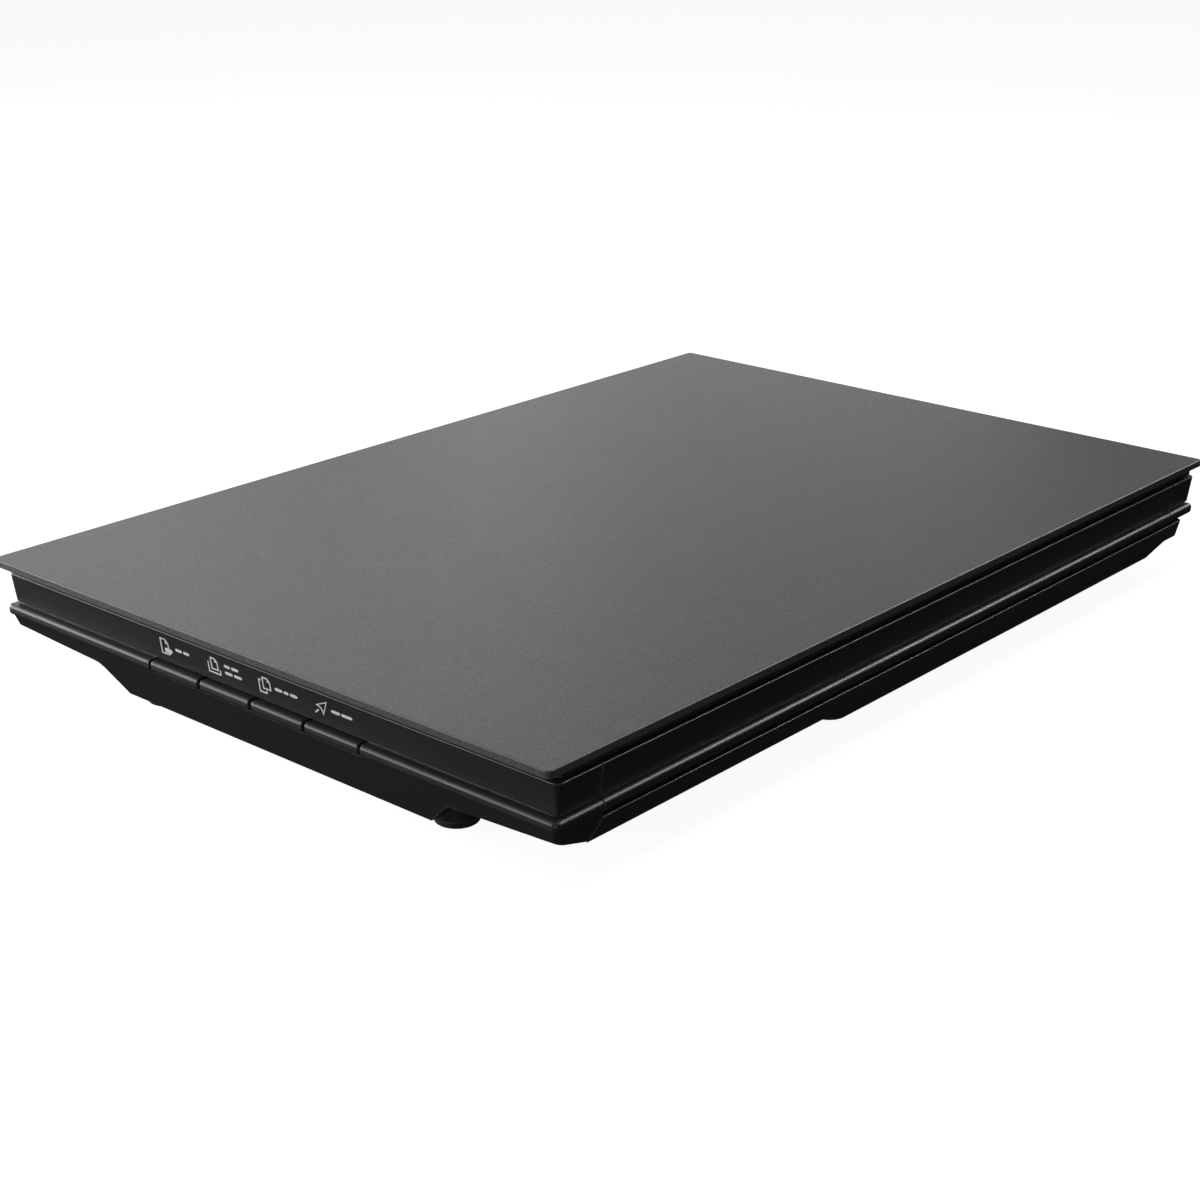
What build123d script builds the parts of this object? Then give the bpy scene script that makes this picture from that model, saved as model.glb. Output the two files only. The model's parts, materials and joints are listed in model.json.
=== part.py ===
from build123d import *
from math import acos, cos, pi, radians, sin, tan
import os

# Slim USB flatbed scanner for A4 originals, built piece by piece, in millimetres.
# Frame: +Z up, origin on the surface it stands on, under the middle of the lid.
# The front with its buttons faces -Y and the hinges are towards +Y.

os.makedirs("parts", exist_ok=True)

# ---- overall outline --------------------------------------------------------------------
LID_HALF_X = 125.0
LID_HALF_Y = 183.5
TOP_Z = 42.0

# ---- housing levels and half widths -----------------------------------------------------
RIM_Z = 36.0
PLATE_THICK = 1.6
PLATE_Z = RIM_Z - PLATE_THICK
BAND_BOTTOM_Z = 25.7
BAND_HALF_X = 123.8
BAND_FRONT_Y = -178.6
BAND_REAR_Y = 180.9
BAND_TAPER = 7.5
BAND_CORNER = 2.0
EDGE_SOFT = 0.3
RIM_SOFT = 0.45
SEAM_SOFT = 0.25
NECK_INSET = 2.0
BEAD_TOP_Z = 25.1
BEAD_BOTTOM_Z = 21.4
BEAD_HALF_X = 124.4
BEAD_FRONT_Y = -180.0
BEAD_REAR_Y = 180.9
BEAD_CORNER = 1.9
BEAD_ROUND = 1.3
WALL_INSIDE_X = 120.4
WALL_INSIDE_FRONT_Y = -174.7
WALL_INSIDE_REAR_Y = 177.2
LIP_HALF_X = 121.7
LIP_BOTTOM_Z = 19.8
SHELF_Z = 21.2
REAR_LIP_Y = 171.4
REAR_LIP_THICK = 1.2
SHELF_THICK = 1.4

SEAM_FRONT_Y = -160.5
SEAM_REAR_Y = 163.3
SEAM_GAP = 0.2
TONGUE_THICK = 1.6
TONGUE_FRONT_X = (80.0, 108.0)
TONGUE_REAR_X = (67.0, 86.0)
TONGUE_LONG = 3.6

# ---- front bezel ------------------------------------------------------------------------
CHIN_TOP_Z = 22.3
CHIN_TOP_HALF_X = 123.7
CHIN_TOP_Y = -179.3
BELLY_Z = 5.5
CHIN_BOTTOM_HALF_X = 121.7
CHIN_BOTTOM_Y = -172.7
CHIN_INSIDE_BOTTOM_X = 119.5
CHIN_INSIDE_BOTTOM_Y = -170.4
CHIN_EDGE_X = 130.0
CHIN_EDGE_FRONT_Z = 20.4
CHIN_EDGE_REAR_Z = 12.4
STEP_OUT_X = 79.5
STEP_OUT_Z = 14.7
STEP_IN_X = 69.5
STEP_ROUND = 7.0
DIAGONAL_LOW_Y = -166.8

# ---- bottom case ------------------------------------------------------------------------
HULL_TOP_Z = 20.3
HULL_BOTTOM_Z = 14.6
HULL_HALF_X = 124.0
HULL_FRONT_Y = -177.2
HULL_REAR_Y = 174.1
HULL_REAR_LOW_Y = 171.1
HULL_INSIDE_REAR_LOW_Y = 170.1
HULL_CORNER = 2.4
HULL_LEAN_X = 0.3
CASE_WALL = 2.0
CASE_FRONT_Y = -170.2
BELLY_FLOOR_Z = BELLY_Z + CASE_WALL
BELLY_WIDE_FRONT_Y = -42.0
BELLY_WIDE_REAR_Y = 168.5
BELLY_WIDE_HALF_X = 115.7
BELLY_FLANK_X = 7.4
BELLY_CORNER = 6.0
BELLY_FLANK_FRONT_Y = 20.0
BELLY_FLANK_REAR_Y = 2.3

# ---- glass and scan bed -----------------------------------------------------------------
BED_HALF_X = 108.2
BED_FRONT_Y = -145.2
BED_REAR_Y = 152.2
GLASS_HALF_X = 117.0
GLASS_FRONT_Y = -152.0
GLASS_REAR_Y = 159.0
GLASS_THICK = 2.8
TAPE_THICK = 0.2
GLASS_TOP_Z = PLATE_Z - TAPE_THICK
GLASS_BOTTOM_Z = GLASS_TOP_Z - GLASS_THICK

# ---- lid --------------------------------------------------------------------------------
LID_SKIRT_Z = 39.6
LID_PANEL = 1.6
LID_PANEL_Z = TOP_Z - LID_PANEL
LID_WALL = 2.0
LID_CORNER = 1.5
TRAY_CORNER = 1.3
LID_EDGE = 0.45
LID_NOSE_TOP = 1.4
LID_NOSE_LOW = 0.8
TRAY_HALF_X = 122.8
TRAY_FRONT_Y = -176.6
TRAY_REAR_Y = 179.4
TRAY_Z = 36.6
TRAY_FLOOR = 1.4
TRAY_TOP_Z = LID_PANEL_Z - 0.1
PAD_HALF_X = 106.8
PAD_FRONT_Y = -143.8
PAD_REAR_Y = 150.8
PAD_BOTTOM_Z = 34.6
PAD_CORNER = 2.0
SHEET_THICK = 0.6

# ---- hinges -----------------------------------------------------------------------------
HINGE_X = 98.0
HINGE_Y = 181.0
HINGE_Z = 38.2
BARREL_R = 1.7
PIN_R = 0.8
PIN_CLEAR = 0.05
LEG_WIDE = 14.0
LEG_THICK = 4.6
LEG_Y = 167.4
LEG_BOTTOM_Z = 17.4
SLOT_CLEAR = 0.4
SLEEVE_WALL = 1.2
SLEEVE_BOTTOM_Z = 21.0
KNUCKLE_LONG = 3.0
KNUCKLE_GAP = 0.4

# ---- buttons ----------------------------------------------------------------------------
BUTTON_NAMES = ["document", "auto_scan", "copy", "send"]
BUTTON_PITCH = 24.0
BUTTON_GAP = 1.0
BUTTON_Z_GAP = 0.3
BUTTON_STEM_END_Y = -170.5
BUTTON_FLANGE_Y = -173.6
BUTTON_Z = (BEAD_TOP_Z + BEAD_BOTTOM_Z) / 2
SWITCH_SIZE = 6.0
SWITCH_FRONT_Y = -169.5
PLUNGER_R = 1.7
PLUNGER_INNER_Y = -168.4
BOARD_THICK = 1.6
BUTTON_BOARD_Y = -166.0
BUTTON_BOARD_HALF_X = 50.0
BUTTON_BOARD_LOW_Z = 10.0
BUTTON_BOARD_HIGH_Z = 27.5
BUTTON_SCREW_X = 45.0
BUTTON_SCREW_Z = 13.5

# ---- carriage, at home under the calibration strip --------------------------------------
HOME_Y = -148.0
SHAFT_X = -24.0
SHAFT_Z = 14.0
SHAFT_R = 3.0
SHAFT_FRONT_Y = -163.8
SHAFT_REAR_Y = 167.2
POST_LONG = 3.6
BUSH_R = 4.5
BUSH_LONG = 7.0
BUSH_BORE_R = SHAFT_R + 0.04
DECK_Z = 18.6
DECK_THICK = 1.4
DECK_HALF_X = 118.3
DECK_HALF_Y = 9.0
CHEEK_THICK = 2.0
CHEEK_TOP_Z = 27.0
SENSOR_HALF_X = 116.0
SENSOR_HALF_Y = 8.5
SENSOR_BOTTOM_Z = 20.6
SENSOR_TOP_Z = 31.0
CHANNEL_HALF_X = 108.6
LENS_HALF_Y = 1.3
GUIDE_Y = 4.4
GUIDE_R = 1.7
SPRING_X = 111.8
SPRING_R = 2.0
SPRING_WIRE_R = 0.2
SPRING_BOTTOM_Z = 17.8
SPRING_TOP_Z = 22.2

# ---- drive ------------------------------------------------------------------------------
MODULE = 0.6
PRESSURE = radians(25.0)
ADDENDUM = 0.95
DEDENDUM = 1.25
BACKLASH = 0.06
RACK_GEAR_TEETH = 16
WHEEL_TEETH = 42
PINION_TEETH = 12
WHEEL_X = 22.0
PINION_X = WHEEL_X + MODULE * (WHEEL_TEETH + PINION_TEETH) / 2
RACK_PITCH_X = WHEEL_X - MODULE * RACK_GEAR_TEETH / 2
RACK_BACK_X = 12.4
RACK_FRONT_Y = -161.0
RACK_REAR_Y = 162.0
RACK_TOP_Z = 13.0
RACK_GEAR_Z = 8.7
WHEEL_Z = 14.9
WHEEL_THICK = 2.6
AXLE_R = 1.0
MOTOR_R = 10.0
MOTOR_Z = 8.2
MOTOR_TALL = 5.6
MOTOR_EAR_Y = 12.4

# ---- fixings, boards and feet -----------------------------------------------------------
SCREW_R = 1.5
SCREW_HEAD_R = 2.5
SCREW_SHANK_R = 1.2
SCREW_PILOT_R = 1.2
PILOT_DEEP = 9.0
SMALL_SCREW_R = 0.9
SMALL_PILOT_R = 0.9
SMALL_HEAD_R = 2.2
SCREW_HEAD_TALL = 1.6
FRONT_SCREW = (62.0, -165.6)
REAR_SCREW = (60.0, 165.0)
TOWER_R = 3.4
TOWER_TOP_Z = 12.0
BOARD_LEFT_X = -108.0
BOARD_RIGHT_X = -70.0
BOARD_FRONT_Y = 118.0
BOARD_REAR_Y = 165.4
BOARD_Z = 14.0
BOARD_TOP_Z = BOARD_Z + BOARD_THICK
BOARD_HOLES = [
    (x, y)
    for x in (BOARD_LEFT_X + 5.0, BOARD_RIGHT_X - 5.0)
    for y in (BOARD_FRONT_Y + 5.0, BOARD_REAR_Y - 14.0)
]
CABLE_X = -91.0
CABLE_WIDE = 12.0
CABLE_Z_GAP = 0.25
USB_X = -76.0
USB_WIDE = 7.7
USB_TALL = 3.9
USB_LONG = 9.2
USB_MOUTH_Y = 171.5
FOOT_R = 7.0
FOOT_TALL = 3.2
FOOT_PAD_R = 8.0
FOOT_PAD_Z = 2.6
FRONT_FOOT = (66.6, -159.6)
REAR_FOOT = (99.0, 150.0)


# ==== shared shapes ======================================================================
def plan(z, half_x, front_y, rear_y, corner):
    """Rounded rectangle drawn on level z, symmetric left to right."""
    with BuildSketch(Plane.XY.offset(z)) as outline:
        with Locations((0, (front_y + rear_y) / 2)):
            RectangleRounded(2 * half_x, rear_y - front_y, corner)
    return outline.sketch


def inside_plan(z):
    """Outline of the room between the housing's walls, drawn on level z."""
    return plan(z, WALL_INSIDE_X, WALL_INSIDE_FRONT_Y, WALL_INSIDE_REAR_Y, BAND_CORNER)


def block(x0, x1, y0, y1, z0, z1, mode=Mode.ADD):
    """Box given by its two corners."""
    with Locations(((x0 + x1) / 2, (y0 + y1) / 2, (z0 + z1) / 2)):
        Box(x1 - x0, y1 - y0, z1 - z0, mode=mode)


def post(x, y, z0, z1, radius, mode=Mode.ADD):
    """Upright cylinder from z0 to z1."""
    with Locations((x, y, (z0 + z1) / 2)):
        Cylinder(radius, z1 - z0, mode=mode)


def rod_y(x, z, y0, y1, radius, mode=Mode.ADD):
    """Cylinder lying along Y."""
    with Locations(Location((x, (y0 + y1) / 2, z), (90, 0, 0))):
        Cylinder(radius, y1 - y0, mode=mode)


def rod_x(y, z, x0, x1, radius, mode=Mode.ADD):
    """Cylinder lying along X."""
    with Locations(Location(((x0 + x1) / 2, y, z), (0, 90, 0))):
        Cylinder(radius, x1 - x0, mode=mode)


def top_edges(builder, z):
    """Outer edges lying on level z."""
    return builder.edges().filter_by_position(Axis.Z, z - 0.01, z + 0.01)


def save(builder, name):
    """Label the piece and write its file."""
    builder.part.label = name
    export_step(builder.part, f"parts/{name}.step")


# ==== housing stock: band, neck and bead as one hollow ring ==============================
with BuildPart() as bead:
    extrude(plan(BEAD_BOTTOM_Z, BEAD_HALF_X, BEAD_FRONT_Y, BEAD_REAR_Y, BEAD_CORNER),
            amount=BEAD_TOP_Z - BEAD_BOTTOM_Z)
    fillet(top_edges(bead, BEAD_TOP_Z) + top_edges(bead, BEAD_BOTTOM_Z), BEAD_ROUND)

with BuildPart() as housing:
    extrude(plan(RIM_Z, BAND_HALF_X, BAND_FRONT_Y, BAND_REAR_Y, BAND_CORNER),
            amount=BAND_BOTTOM_Z - RIM_Z, taper=BAND_TAPER)
    fillet(top_edges(housing, RIM_Z), RIM_SOFT)
    fillet(top_edges(housing, BAND_BOTTOM_Z), 2 * EDGE_SOFT)
    extrude(plan(BEAD_BOTTOM_Z + EDGE_SOFT, BAND_HALF_X - NECK_INSET, BAND_FRONT_Y + NECK_INSET,
                 BAND_REAR_Y - NECK_INSET, BAND_CORNER), amount=BAND_BOTTOM_Z - BEAD_BOTTOM_Z)
    add(bead.part)
    extrude(inside_plan(LIP_BOTTOM_Z), amount=PLATE_Z - LIP_BOTTOM_Z, mode=Mode.SUBTRACT)

with BuildPart() as lip:
    lip_tall = BEAD_BOTTOM_Z + 1.0 - LIP_BOTTOM_Z
    extrude(plan(LIP_BOTTOM_Z, LIP_HALF_X, WALL_INSIDE_FRONT_Y, WALL_INSIDE_REAR_Y + 0.5, BAND_CORNER),
            amount=lip_tall)
    extrude(inside_plan(LIP_BOTTOM_Z), amount=lip_tall, mode=Mode.SUBTRACT)


def soften_seam(builder, y):
    """Small chamfer round the outer side edges of the joint between two housing pieces."""
    on_seam = builder.edges().filter_by_position(Axis.Y, y - 0.01, y + 0.01)
    outer = [
        edge for edge in on_seam
        if abs(edge.center().X) > LIP_HALF_X - 0.2 and edge.center().Z > BEAD_BOTTOM_Z - 0.2
    ]
    chamfer(outer, SEAM_SOFT)


# ==== upper frame ========================================================================
with BuildPart() as upper_frame:
    add(housing.part)
    add(lip.part)
    block(-LID_HALF_X, LID_HALF_X, SEAM_FRONT_Y, SEAM_REAR_Y, LIP_BOTTOM_Z, RIM_Z, Mode.INTERSECT)
    soften_seam(upper_frame, SEAM_FRONT_Y)
    soften_seam(upper_frame, SEAM_REAR_Y)
    extrude(plan(RIM_Z, BED_HALF_X, BED_FRONT_Y, BED_REAR_Y, 1.0), amount=-PLATE_THICK, mode=Mode.SUBTRACT)
    bed_edges = [
        edge for edge in top_edges(upper_frame, RIM_Z)
        if abs(edge.center().X) < BED_HALF_X + 1.0 and BED_FRONT_Y - 1.0 < edge.center().Y < BED_REAR_Y + 1.0
    ]
    chamfer(bed_edges, 0.5)
    for side in (-1, 1):
        for reach_x, y0, y1 in ((TONGUE_FRONT_X, SEAM_FRONT_Y - TONGUE_LONG, SEAM_FRONT_Y + TONGUE_LONG),
                                (TONGUE_REAR_X, SEAM_REAR_Y - TONGUE_LONG, SEAM_REAR_Y + TONGUE_LONG)):
            x0, x1 = sorted((side * reach_x[0], side * reach_x[1]))
            block(x0, x1, y0, y1, PLATE_Z - TONGUE_THICK, PLATE_Z)

# ==== front bezel ========================================================================
def belly_section(y, edge_z):
    """What is cut away below the front at y: raised corners, rounded steps, low flat middle."""
    low = BELLY_Z - 1.0
    with BuildSketch(Plane.XZ.offset(-y)) as section:
        with BuildLine():
            Polyline((-CHIN_EDGE_X, edge_z), (-STEP_OUT_X, STEP_OUT_Z), (-STEP_IN_X, BELLY_Z),
                     (STEP_IN_X, BELLY_Z), (STEP_OUT_X, STEP_OUT_Z), (CHIN_EDGE_X, edge_z),
                     (CHIN_EDGE_X, low), (-CHIN_EDGE_X, low), close=True)
        make_face()
        steps = [v for v in section.vertices() if abs(abs(v.X) - STEP_OUT_X) < 0.1]
        fillet(steps, STEP_ROUND)
    return section.sketch


with BuildPart() as chin:
    loft([plan(CHIN_TOP_Z, CHIN_TOP_HALF_X, CHIN_TOP_Y, -CHIN_TOP_Y, BEAD_CORNER),
          plan(BELLY_Z, CHIN_BOTTOM_HALF_X, CHIN_BOTTOM_Y, -CHIN_BOTTOM_Y, BEAD_CORNER)])

with BuildPart() as chin_inside:
    loft([plan(CHIN_TOP_Z + 0.01, WALL_INSIDE_X, WALL_INSIDE_FRONT_Y, -WALL_INSIDE_FRONT_Y, BAND_CORNER),
          plan(BELLY_Z - 0.01, CHIN_INSIDE_BOTTOM_X, CHIN_INSIDE_BOTTOM_Y, -CHIN_INSIDE_BOTTOM_Y,
               BAND_CORNER)])

with BuildPart() as front_bezel:
    seam_y = SEAM_FRONT_Y - SEAM_GAP
    add(housing.part)
    block(-LID_HALF_X, LID_HALF_X, -LID_HALF_Y, seam_y, BELLY_Z - 1.0, RIM_Z, Mode.INTERSECT)
    soften_seam(front_bezel, seam_y)
    add(chin.part)
    add(chin_inside.part, mode=Mode.SUBTRACT)
    extrude(inside_plan(LIP_BOTTOM_Z), amount=PLATE_Z - LIP_BOTTOM_Z, mode=Mode.SUBTRACT)
    block(-LID_HALF_X, LID_HALF_X, -LID_HALF_Y, seam_y, BELLY_Z - 1.0, RIM_Z, Mode.INTERSECT)
    loft([belly_section(-LID_HALF_Y - 1.0, CHIN_EDGE_FRONT_Z), belly_section(SEAM_FRONT_Y, CHIN_EDGE_REAR_Z)],
         ruled=True, mode=Mode.SUBTRACT)
    # the slanting joint with the bottom case
    with BuildSketch(Plane.YZ):
        with BuildLine():
            Polyline((DIAGONAL_LOW_Y - 0.4, BELLY_Z), (DIAGONAL_LOW_Y - 0.4, STEP_OUT_Z - 0.4),
                     (seam_y, HULL_TOP_Z + 0.4), (SEAM_FRONT_Y + 5.0, HULL_TOP_Z + 0.4),
                     (SEAM_FRONT_Y + 5.0, BELLY_Z), close=True)
        make_face()
    extrude(amount=LID_HALF_X, both=True, mode=Mode.SUBTRACT)
    # room for the row of buttons in the bead
    half_row = 2 * BUTTON_PITCH + BUTTON_GAP / 2
    block(-half_row, half_row, -LID_HALF_Y, WALL_INSIDE_FRONT_Y + 0.5,
          BEAD_BOTTOM_Z - BUTTON_Z_GAP, BEAD_TOP_Z + BUTTON_Z_GAP, Mode.SUBTRACT)
    # posts for the case screws and the button board
    for side in (-1, 1):
        x, y = side * FRONT_SCREW[0], FRONT_SCREW[1]
        post(x, y, TOWER_TOP_Z + 0.1, PLATE_Z + 0.2, TOWER_R - 0.8)
        post(x, y, TOWER_TOP_Z, TOWER_TOP_Z + PILOT_DEEP, SCREW_PILOT_R, Mode.SUBTRACT)
        x = side * BUTTON_SCREW_X
        rod_y(x, BUTTON_SCREW_Z, BUTTON_BOARD_Y - 8.0, BUTTON_BOARD_Y, 3.0)
        rod_y(x, BUTTON_SCREW_Z, BUTTON_BOARD_Y - 6.0, BUTTON_BOARD_Y, SMALL_PILOT_R, Mode.SUBTRACT)

# ==== rear cover =========================================================================
with BuildPart() as rear_cover:
    add(housing.part)
    block(-LID_HALF_X, LID_HALF_X, SEAM_REAR_Y + SEAM_GAP, LID_HALF_Y, TOWER_TOP_Z, RIM_Z, Mode.INTERSECT)
    soften_seam(rear_cover, SEAM_REAR_Y + SEAM_GAP)
    extrude(plan(SHELF_Z, BAND_HALF_X - NECK_INSET, BAND_FRONT_Y, BAND_REAR_Y - NECK_INSET, BAND_CORNER),
            amount=SHELF_THICK)
    block(-LIP_HALF_X, LIP_HALF_X, REAR_LIP_Y - REAR_LIP_THICK, REAR_LIP_Y, LIP_BOTTOM_Z, SHELF_Z)
    extrude(plan(LIP_BOTTOM_Z, WALL_INSIDE_X, WALL_INSIDE_FRONT_Y, REAR_LIP_Y - REAR_LIP_THICK, BAND_CORNER),
            amount=PLATE_Z - LIP_BOTTOM_Z, mode=Mode.SUBTRACT)
    # sleeves for the hinge legs and posts for the case screws
    slot_x = LEG_WIDE / 2 + SLOT_CLEAR
    slot_y = LEG_THICK / 2 + SLOT_CLEAR
    for side in (-1, 1):
        x = side * HINGE_X
        block(x - slot_x - SLEEVE_WALL, x + slot_x + SLEEVE_WALL, LEG_Y - slot_y - SLEEVE_WALL,
              LEG_Y + slot_y + SLEEVE_WALL, SLEEVE_BOTTOM_Z, PLATE_Z + 0.2)
        block(x - slot_x, x + slot_x, LEG_Y - slot_y, LEG_Y + slot_y, LIP_BOTTOM_Z, RIM_Z, Mode.SUBTRACT)
        x, y = side * REAR_SCREW[0], REAR_SCREW[1]
        post(x, y, TOWER_TOP_Z + 0.1, PLATE_Z + 0.2, TOWER_R - 0.6)
        post(x, y, TOWER_TOP_Z, TOWER_TOP_Z + PILOT_DEEP, SCREW_PILOT_R, Mode.SUBTRACT)
    block(-LID_HALF_X, LID_HALF_X, SEAM_REAR_Y + SEAM_GAP, LID_HALF_Y, TOWER_TOP_Z, RIM_Z, Mode.INTERSECT)

# ==== bottom case ========================================================================
with BuildPart() as belly_wide:
    loft([plan(HULL_BOTTOM_Z + 0.4, BELLY_WIDE_HALF_X + BELLY_FLANK_X,
               BELLY_WIDE_FRONT_Y - BELLY_FLANK_FRONT_Y, BELLY_WIDE_REAR_Y + BELLY_FLANK_REAR_Y,
               BELLY_CORNER),
          plan(BELLY_Z, BELLY_WIDE_HALF_X, BELLY_WIDE_FRONT_Y, BELLY_WIDE_REAR_Y, BELLY_CORNER)])

with BuildPart() as belly_wide_inside:
    loft([plan(HULL_BOTTOM_Z + CASE_WALL, BELLY_WIDE_HALF_X + BELLY_FLANK_X - CASE_WALL,
               BELLY_WIDE_FRONT_Y - BELLY_FLANK_FRONT_Y + CASE_WALL,
               BELLY_WIDE_REAR_Y + BELLY_FLANK_REAR_Y - CASE_WALL, BELLY_CORNER - CASE_WALL),
          plan(BELLY_FLOOR_Z, BELLY_WIDE_HALF_X - CASE_WALL, BELLY_WIDE_FRONT_Y + CASE_WALL,
               BELLY_WIDE_REAR_Y - CASE_WALL, BELLY_CORNER - CASE_WALL)])


def belly_wedge(y, top_z, low_z, out_x, in_x):
    """Cross-section of the narrow belly in front view."""
    with BuildSketch(Plane.XZ.offset(-y)) as section:
        with BuildLine():
            Polyline((-out_x, top_z), (-in_x, low_z), (in_x, low_z), (out_x, top_z), close=True)
        make_face()
    return section.sketch


with BuildPart() as bottom_case:
    loft([plan(HULL_TOP_Z, HULL_HALF_X, HULL_FRONT_Y, HULL_REAR_Y, HULL_CORNER),
          plan(HULL_BOTTOM_Z, HULL_HALF_X - HULL_LEAN_X, HULL_FRONT_Y, HULL_REAR_LOW_Y, HULL_CORNER)])
    fillet(top_edges(bottom_case, HULL_TOP_Z), EDGE_SOFT)
    fillet(top_edges(bottom_case, HULL_BOTTOM_Z), EDGE_SOFT)
    block(-LID_HALF_X, LID_HALF_X, -LID_HALF_Y, CASE_FRONT_Y, BELLY_Z, HULL_TOP_Z, Mode.SUBTRACT)
    for side in (-1, 1):
        x0, x1 = sorted((side * (CHIN_INSIDE_BOTTOM_X - 3.0), side * LID_HALF_X))
        block(x0, x1, -LID_HALF_Y, DIAGONAL_LOW_Y, BELLY_Z, HULL_TOP_Z, Mode.SUBTRACT)
    with BuildSketch(Plane.YZ):
        with BuildLine():
            Polyline((DIAGONAL_LOW_Y - 6.0, HULL_BOTTOM_Z), (DIAGONAL_LOW_Y, HULL_BOTTOM_Z),
                     (SEAM_FRONT_Y, HULL_TOP_Z + 0.1), (DIAGONAL_LOW_Y - 6.0, HULL_TOP_Z + 0.1), close=True)
        make_face()
    extrude(amount=LID_HALF_X, both=True, mode=Mode.SUBTRACT)
    block(-CHIN_INSIDE_BOTTOM_X + 3.0, CHIN_INSIDE_BOTTOM_X - 3.0, CASE_FRONT_Y, SEAM_FRONT_Y,
          HULL_BOTTOM_Z, HULL_BOTTOM_Z + CASE_WALL)
    add(belly_wide.part)
    extrude(belly_wedge(CASE_FRONT_Y, HULL_BOTTOM_Z + 0.4, BELLY_Z, STEP_OUT_X, STEP_IN_X),
            amount=CASE_FRONT_Y - BELLY_WIDE_FRONT_Y)
    loft([plan(HULL_TOP_Z, HULL_HALF_X - CASE_WALL, HULL_FRONT_Y - 2.0, HULL_REAR_Y - CASE_WALL, 1.5),
          plan(HULL_BOTTOM_Z + CASE_WALL, HULL_HALF_X - CASE_WALL, HULL_FRONT_Y - 2.0,
               HULL_INSIDE_REAR_LOW_Y, 1.5)],
         mode=Mode.SUBTRACT)
    add(belly_wide_inside.part, mode=Mode.SUBTRACT)
    extrude(belly_wedge(CASE_FRONT_Y - 1.0, HULL_BOTTOM_Z + CASE_WALL, BELLY_FLOOR_Z,
                        STEP_OUT_X - CASE_WALL, STEP_IN_X - CASE_WALL),
            amount=CASE_FRONT_Y - BELLY_WIDE_FRONT_Y - 7.0, mode=Mode.SUBTRACT)
    # foot pads and screw towers
    for side in (-1, 1):
        for foot_x, foot_y in (FRONT_FOOT, REAR_FOOT):
            post(side * foot_x, foot_y, FOOT_PAD_Z, BELLY_FLOOR_Z, FOOT_PAD_R)
            post(side * foot_x, foot_y, FOOT_PAD_Z, FOOT_TALL, FOOT_R + 0.05, Mode.SUBTRACT)
        for screw_x, screw_y in (FRONT_SCREW, REAR_SCREW):
            post(side * screw_x, screw_y, BELLY_Z + 0.5, TOWER_TOP_Z, TOWER_R)
            post(side * screw_x, screw_y, BELLY_Z, TOWER_TOP_Z, SCREW_R + 0.2, Mode.SUBTRACT)
            post(side * screw_x, screw_y, BELLY_Z - 3.0, BELLY_Z + 2.4, SCREW_HEAD_R + 0.4, Mode.SUBTRACT)
    # cradles for the guide shaft
    for y0 in (SHAFT_FRONT_Y, SHAFT_REAR_Y - POST_LONG):
        block(SHAFT_X - 6.0, SHAFT_X + 6.0, y0, y0 + POST_LONG, BELLY_FLOOR_Z - 0.5, SHAFT_Z)
    rod_y(SHAFT_X, SHAFT_Z, SHAFT_FRONT_Y, SHAFT_REAR_Y, SHAFT_R, Mode.SUBTRACT)
    # window for the cable socket and posts under the main board
    block(USB_X - USB_WIDE / 2 - 0.5, USB_X + USB_WIDE / 2 + 0.5, BOARD_REAR_Y - 4.0, LID_HALF_Y,
          BOARD_TOP_Z - 0.3, BOARD_TOP_Z + USB_TALL + 0.3, Mode.SUBTRACT)
    for x, y in BOARD_HOLES:
        post(x, y, BELLY_FLOOR_Z - 0.5, BOARD_Z, 3.0)
        post(x, y, BOARD_Z - 4.0, BOARD_Z, SMALL_PILOT_R, Mode.SUBTRACT)

# ==== feet and case screws ===============================================================
with BuildPart() as rubber_feet:
    for side in (-1, 1):
        for foot_x, foot_y in (FRONT_FOOT, REAR_FOOT):
            post(side * foot_x, foot_y, 0.0, FOOT_TALL, FOOT_R)
    fillet(top_edges(rubber_feet, 0.0), 1.2)


def pan_screw(x, y, head_z, length, up=1):
    """Upright screw, head under level head_z when up is 1, over it when up is -1."""
    post(x, y, *sorted((head_z, head_z - up * SCREW_HEAD_TALL)), SCREW_HEAD_R)
    post(x, y, *sorted((head_z, head_z + up * length)), SCREW_SHANK_R)
    face_z = head_z - up * SCREW_HEAD_TALL
    for size in ((2.8, 0.7), (0.7, 2.8)):
        block(x - size[0] / 2, x + size[0] / 2, y - size[1] / 2, y + size[1] / 2,
              face_z - 0.8, face_z + 0.8, Mode.SUBTRACT)


with BuildPart() as case_screws:
    for side in (-1, 1):
        for screw_x, screw_y in (FRONT_SCREW, REAR_SCREW):
            pan_screw(side * screw_x, screw_y, BELLY_Z + 2.4, 10.0)

# ==== glass, its tape and the white reference strip ======================================
with BuildPart() as platen_glass:
    extrude(plan(GLASS_BOTTOM_Z, GLASS_HALF_X, GLASS_FRONT_Y, GLASS_REAR_Y, 1.0), amount=GLASS_THICK)

with BuildPart() as glass_tape:
    extrude(plan(GLASS_TOP_Z, GLASS_HALF_X - 0.5, GLASS_FRONT_Y + 0.5, GLASS_REAR_Y - 0.5, 1.0),
            amount=TAPE_THICK)
    extrude(plan(GLASS_TOP_Z, BED_HALF_X + 0.5, BED_FRONT_Y - 0.5, BED_REAR_Y + 0.5, 1.0),
            amount=TAPE_THICK, mode=Mode.SUBTRACT)
    block(-BED_HALF_X, BED_HALF_X, GLASS_FRONT_Y, BED_FRONT_Y - 0.4, GLASS_TOP_Z, PLATE_Z, Mode.SUBTRACT)

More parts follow.
